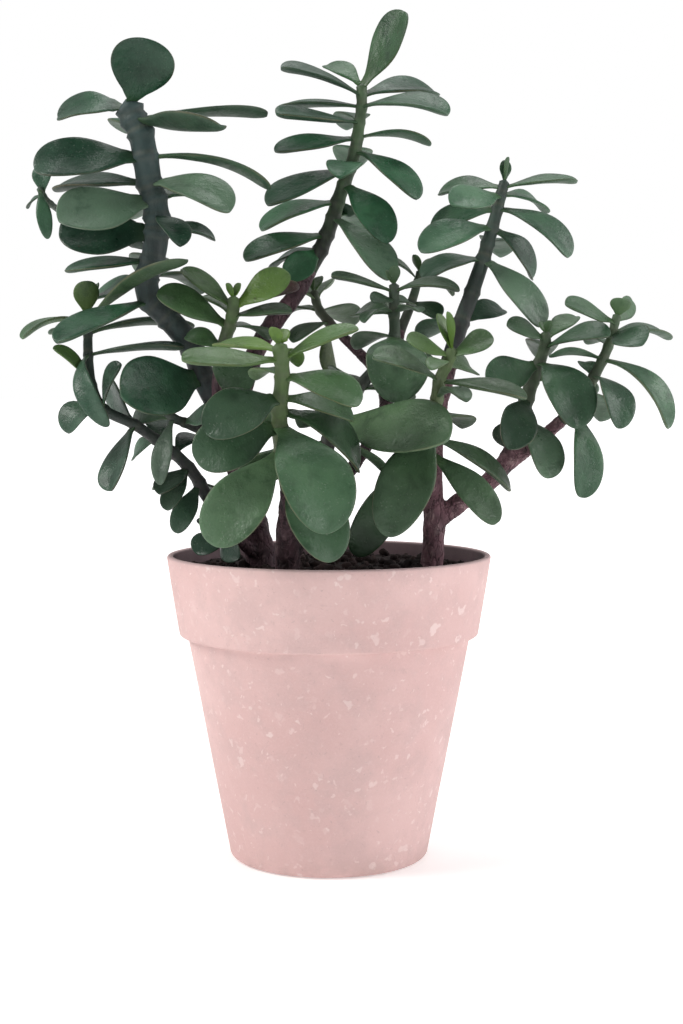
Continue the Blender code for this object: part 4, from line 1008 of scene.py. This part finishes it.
def leafy_stem(name, leaves, wood_ends, rng):
    shells = Shells()
    materials = []
    for stem in filter(None, (name, SIDE_SHOOTS.get(name))):
        joints = LEAFY_STEMS[stem]["joints"]
        materials.append(stem_material(f"stem_{stem}", *STEM_LOOKS[stem]))
        add_stem(shells, stem, len(materials) - 1, wood_ends.get(joints[0][0]))
        materials.append(leaf_material(f"leaf_{stem}", *LEAF_LOOKS[stem]))
        line = stem_line(stem)
        strength, tops = YOUNG_TOPS[stem]
        stem_leaves = iter(leaves[stem])
        for j, (_, rows) in enumerate(joints):
            young = strength * smoothstep((j - (len(joints) - 1 - tops)) / tops)
            for row in rows:
                light = rng.uniform(*LEAF_LIGHT)
                # A listed leaf's lightness is partly its own tone and partly painted shade and light.
                youth, red, light = LEAF_TINTS.get((row[0], row[2]), (young, 0.0, light))
                kind = (light, youth, red)
                add_leaf(shells, next(stem_leaves), len(materials) - 1, kind, line[j, 3], rng)
    stand_in(shells.build("fine_" + name, materials), "leafy_stem_" + name)


def bark_height(point):
    """How far the bark stands out at a place: flaking plates, long ridges and small lumps, from -1 to 1."""
    x, y, z = point
    plates = noise.noise(Vector((x * 0.30, y * 0.30, z * 0.16)))
    ridges = 1 - 2 * abs(noise.noise(Vector((x * 0.75 + 9, y * 0.75, z * 0.22))))
    lumps = noise.noise(Vector((x * 1.1, y * 1.1 + 5, z * 1.1)))
    return 0.5 * plates + 0.35 * (ridges - 0.6) + 0.25 * lumps


def trunk(name):
    """Branches swollen at their old leaf rings, grown together at the forks and roughened as bark."""
    shells = Shells()
    for number, branch in enumerate(TRUNKS[name]):
        line = smooth_line(branch_line(branch), WOOD_RING_STEP)
        along = lengths_along(line)
        lumps = np.array([ring_noise(WOOD_SIDES, 1.0, far * 0.07 + 7 * number) for far in along])
        from_ring = (along + RING_SHIFT) % RING_SPACING - RING_SPACING / 2
        swell = 1 + RING_SWELL * np.exp(-((from_ring / RING_SPREAD) ** 2))
        radii = line[:, 3:] * (swell[:, None] + WOOD_LUMP_SHARE * lumps)
        shells.add(tube_rings(line, radii)[0], loft_faces(len(line), WOOD_SIDES))
    body = shells.build("fine_" + name)
    remesh = body.modifiers.new("grow_together", "REMESH")
    remesh.mode = "VOXEL"
    remesh.voxel_size = VOXEL_SIZE * MM
    smooth = body.modifiers.new("soften", "SMOOTH")
    smooth.factor = 0.5
    smooth.iterations = 3
    bpy.context.view_layer.update()
    mesh = bpy.data.meshes.new_from_object(body.evaluated_get(bpy.context.evaluated_depsgraph_get()))
    body.modifiers.clear()
    body.data = mesh
    mesh.name = body.name
    co = np.empty(len(mesh.vertices) * 3)
    normals = np.empty(len(co))
    mesh.vertices.foreach_get("co", co)
    mesh.vertex_normals.foreach_get("vector", normals)
    co, normals = co.reshape(-1, 3) / MM, normals.reshape(-1, 3)
    heights = np.array([bark_height(point) for point in co])
    co += normals * (heights * BARK_DEPTH)[:, None]
    mesh.vertices.foreach_set("co", (co * MM).ravel())
    set_vectors(mesh, "place", np.outer(0.5 + 0.5 * heights / BARK_RANGE, (1, 0, 0)))
    mesh.materials.clear()
    mesh.materials.append(bark_material("bark_" + name, *BARKS[name]))
    mesh.shade_smooth()
    mesh.update()
    stand_in(body, name)


def arc(centre, radius, start_degrees, end_degrees):
    angles = np.radians(np.linspace(start_degrees, end_degrees, POT_ARC_POINTS))
    return [(centre[0] + radius * np.cos(a), centre[1] + radius * np.sin(a)) for a in angles]


def pot_inner_radius(height):
    """The inside of the pot narrows evenly from the rim down to its floor."""
    low, high = POT_BASE_RADIUS - POT_WALL, POT_RIM_RADIUS - POT_WALL
    return low + (high - low) * (height - POT_FLOOR) / (POT_HEIGHT - POT_FLOOR)


def spread(rows):
    """The same profile with points added so that none are further apart than the step."""
    out = [rows[0]]
    for a, b in zip(rows, rows[1:]):
        count = max(1, int(np.ceil(np.hypot(b[0] - a[0], b[1] - a[1]) / POT_PROFILE_STEP)))
        out += [tuple(p + (q - p) * k / count for p, q in zip(a, b)) for k in range(1, count + 1)]
    return out


def pot():
    collar_foot = POT_HEIGHT - POT_COLLAR_HEIGHT
    base, edge = POT_BASE_ROUNDING, POT_EDGE_ROUNDING
    inner_rim = pot_inner_radius(POT_HEIGHT)
    outer = [(POT_AXIS_GAP, 0.0)] + arc((POT_BASE_RADIUS - base, base), base, -90, 0)
    outer.append((POT_BODY_TOP_RADIUS, collar_foot - COLLAR_HOLLOW_HEIGHT))
    outer.append((POT_BODY_TOP_RADIUS + COLLAR_HOLLOW_DEPTH, collar_foot))
    outer += arc((POT_COLLAR_FOOT_RADIUS - edge, collar_foot + edge), edge, -90, 0)
    outer += arc((POT_RIM_RADIUS - edge, POT_HEIGHT - edge), edge, 0, 90)
    inner = arc((inner_rim + edge, POT_HEIGHT - edge), edge, 90, 180)
    inner += [(pot_inner_radius(POT_FLOOR) - 2, POT_FLOOR), (POT_AXIS_GAP, POT_FLOOR)]
    outer = spread(outer)
    profile = outer + spread(inner)
    rings, marks = [], []
    for number, (radius, height) in enumerate(profile):
        inside = number >= len(outer) + POT_ARC_POINTS // 2
        on_edge = np.exp(-(((height - POT_HEIGHT) / POT_EDGE_SPREAD) ** 2)) if radius > inner_rim - 1 else 0
        uneven = POT_UNEVENNESS * ring_noise(POT_SEGMENTS, 1.4, height * 0.02) * min(1.0, radius / 10)
        rings.append(level_ring(radius + uneven, height, POT_SEGMENTS))
        marks.append(np.tile((0, inside, on_edge), (POT_SEGMENTS, 1)))
    shells = Shells()
    shells.add(rings, loft_faces(len(profile), POT_SEGMENTS), place=np.concatenate(marks))
    stand_in(shells.build("fine_pot", [pot_material()]), "pot")


def soil_level(x, y):
    """The height of the soil's lumpy top, which is mounded a little round each trunk."""
    lumps = noise.fractal(Vector((x * 0.05, y * 0.05, 3.0)), 1.0, 2.0, 3)
    crumbs = noise.noise(Vector((x * 0.35, y * 0.35, 9.0)))
    level = SOIL_HEIGHT + SOIL_LUMPS * lumps + SOIL_ROUGHNESS * crumbs
    for branches in TRUNKS.values():
        foot = place(branches[0][1])
        level += MOUND_HEIGHT * np.exp(-(((x - foot[0]) ** 2 + (y - foot[1]) ** 2) / MOUND_SPREAD))
    return level


def soil():
    low = SOIL_HEIGHT - SOIL_DEPTH
    foot_radii = (1.0, pot_inner_radius(low) - SOIL_FOOT_GAP)
    rings = [level_ring(radius, low, SOIL_SEGMENTS) for radius in foot_radii]
    for k in range(SOIL_RINGS):
        radius = (pot_inner_radius(SOIL_HEIGHT) - SOIL_TOP_GAP) * (1 - k / SOIL_RINGS)
        ring = level_ring(radius, 0.0, SOIL_SEGMENTS)
        ring[:, 2] = [soil_level(x, y) for x, y, _ in ring]
        rings.append(ring)
    shells = Shells()
    shells.add(rings, loft_faces(len(rings), SOIL_SEGMENTS))
    stand_in(shells.build("fine_soil", [soil_material("soil_bed")]), "soil")


def icosphere():
    work = bmesh.new()
    bmesh.ops.create_icosphere(work, subdivisions=2, radius=1.0)
    points = np.array([v.co[:] for v in work.verts])
    faces = [tuple(v.index for v in f.verts) for f in work.faces]
    work.free()
    return points, faces


def soil_crumbs():
    """Loose bark chips and crumbs of soil, each its own lumpy stone, strewn over the bed."""
    rng = np.random.default_rng(CRUMB_SEED)
    ball, faces = icosphere()
    shells = Shells()
    for _ in range(CRUMB_COUNT):
        size = CRUMB_SMALLEST + CRUMB_RANGE * rng.uniform() ** CRUMB_RARITY
        far = (pot_inner_radius(SOIL_HEIGHT) - size - CRUMB_WALL_GAP) * np.sqrt(rng.uniform())
        turn = rng.uniform(0, 2 * np.pi)
        x, y = far * np.cos(turn), far * np.sin(turn)
        stretch = rng.uniform(*CRUMB_STRETCH, 3) * size
        axes = np.linalg.qr(rng.normal(size=(3, 3)))[0]
        shift = rng.uniform(0, 50)
        radius = np.array([1 + CRUMB_LUMPS * noise.noise(Vector(p * 1.6 + shift)) for p in ball])
        points = (ball * radius[:, None] * stretch) @ axes.T
        points += (x, y, soil_level(x, y) + CRUMB_RISE * size)
        shells.add([points], faces, kind=(rng.uniform(), 0, 0))
    piece = shells.build("soil_crumbs", [soil_material("soil_crumb", chips=True)])
    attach(piece, "root")


def floor():
    """Pale paper, which glows more the farther off it lies, where the lamps reach it less."""
    mesh = bpy.data.meshes.new("floor")
    corners = [(x * FLOOR_SIZE / 2, y * FLOOR_SIZE / 2, FLOOR_HEIGHT)
               for x, y in ((-1, -1), (1, -1), (1, 1), (-1, 1))]
    mesh.from_pydata(corners, [], [(0, 1, 2, 3)])
    g = material("floor_paper")
    g.colour = g.mix(g.noise(30.0, 3.0), (0.90, 0.89, 0.89), (0.92, 0.915, 0.91))
    far = g.node("ShaderNodeVectorMath", {0: g.coordinates()}, operation="LENGTH").outputs["Value"]
    glow = g.mix(g.span(far, 0.25, 2.5, FLOOR_GLOW, FAR_FLOOR_GLOW), (0.0, 0.0, 0.0), (1.0, 1.0, 1.0))
    more = {"Emission Color": glow, "Emission Strength": 1.0, "Specular IOR Level": 0.1}
    mesh.materials.append(g.finish(0.9, more))
    link("floor", mesh)


def lighting():
    """A soft white sky, darker to the front, that the camera sees as plain white, and the lamps."""
    g = Graph(bpy.data.worlds.new("studio"), "Background")
    depth = g.split(g.node("ShaderNodeTexCoord").outputs["Generated"])[1]
    sky = g.span(depth, -0.9, 0.7, SKY_FRONT, SKY_BACK, smooth=False)
    seen = g.node("ShaderNodeLightPath").outputs["Is Camera Ray"]
    g.put(g.shader.inputs["Strength"], g.node("ShaderNodeMix", {0: seen, 2: sky, 3: 1.0}).outputs[0])
    g.put(g.shader.inputs["Color"], (1.0, 1.0, 1.0))
    bpy.context.scene.world = g.owner
    for name, spot, size, power, colour in LAMPS:
        lamp = bpy.data.lights.new(name, "AREA")
        lamp.shape = "DISK"
        lamp.size = size
        lamp.energy = power
        lamp.color = colour
        holder = link(name, lamp)
        holder.location = spot
        holder.rotation_euler = (Vector(LAMP_TARGET) - Vector(spot)).to_track_quat("-Z", "Y").to_euler()
    bpy.context.scene.view_settings.view_transform = "Standard"
    bpy.context.scene.view_settings.look = "None"


def camera():
    lens = bpy.data.cameras.new("camera")
    lens.sensor_width = CAMERA_SENSOR
    lens.sensor_fit = "AUTO"
    lens.lens = CAMERA_SENSOR * CAMERA_FOCAL_PX / IMAGE_HEIGHT_PX
    lens.clip_start = 0.05
    lens.clip_end = 50.0
    holder = link("camera", lens)
    holder.location = EYE * MM
    holder.rotation_euler = (np.pi / 2 - np.radians(CAMERA_PITCH), 0.0, -np.radians(CAMERA_YAW))
    bpy.context.scene.camera = holder


camera()
floor()
lighting()
pot()
soil()
soil_crumbs()
for name in TRUNKS:
    trunk(name)
leaf_rng = np.random.default_rng(LEAF_SEED)
laid_out = lay_out_leaves()
ends = wood_end_directions()
for name in LEAFY_STEMS:
    if name not in SIDE_SHOOTS.values():
        leafy_stem(name, laid_out, ends, leaf_rng)
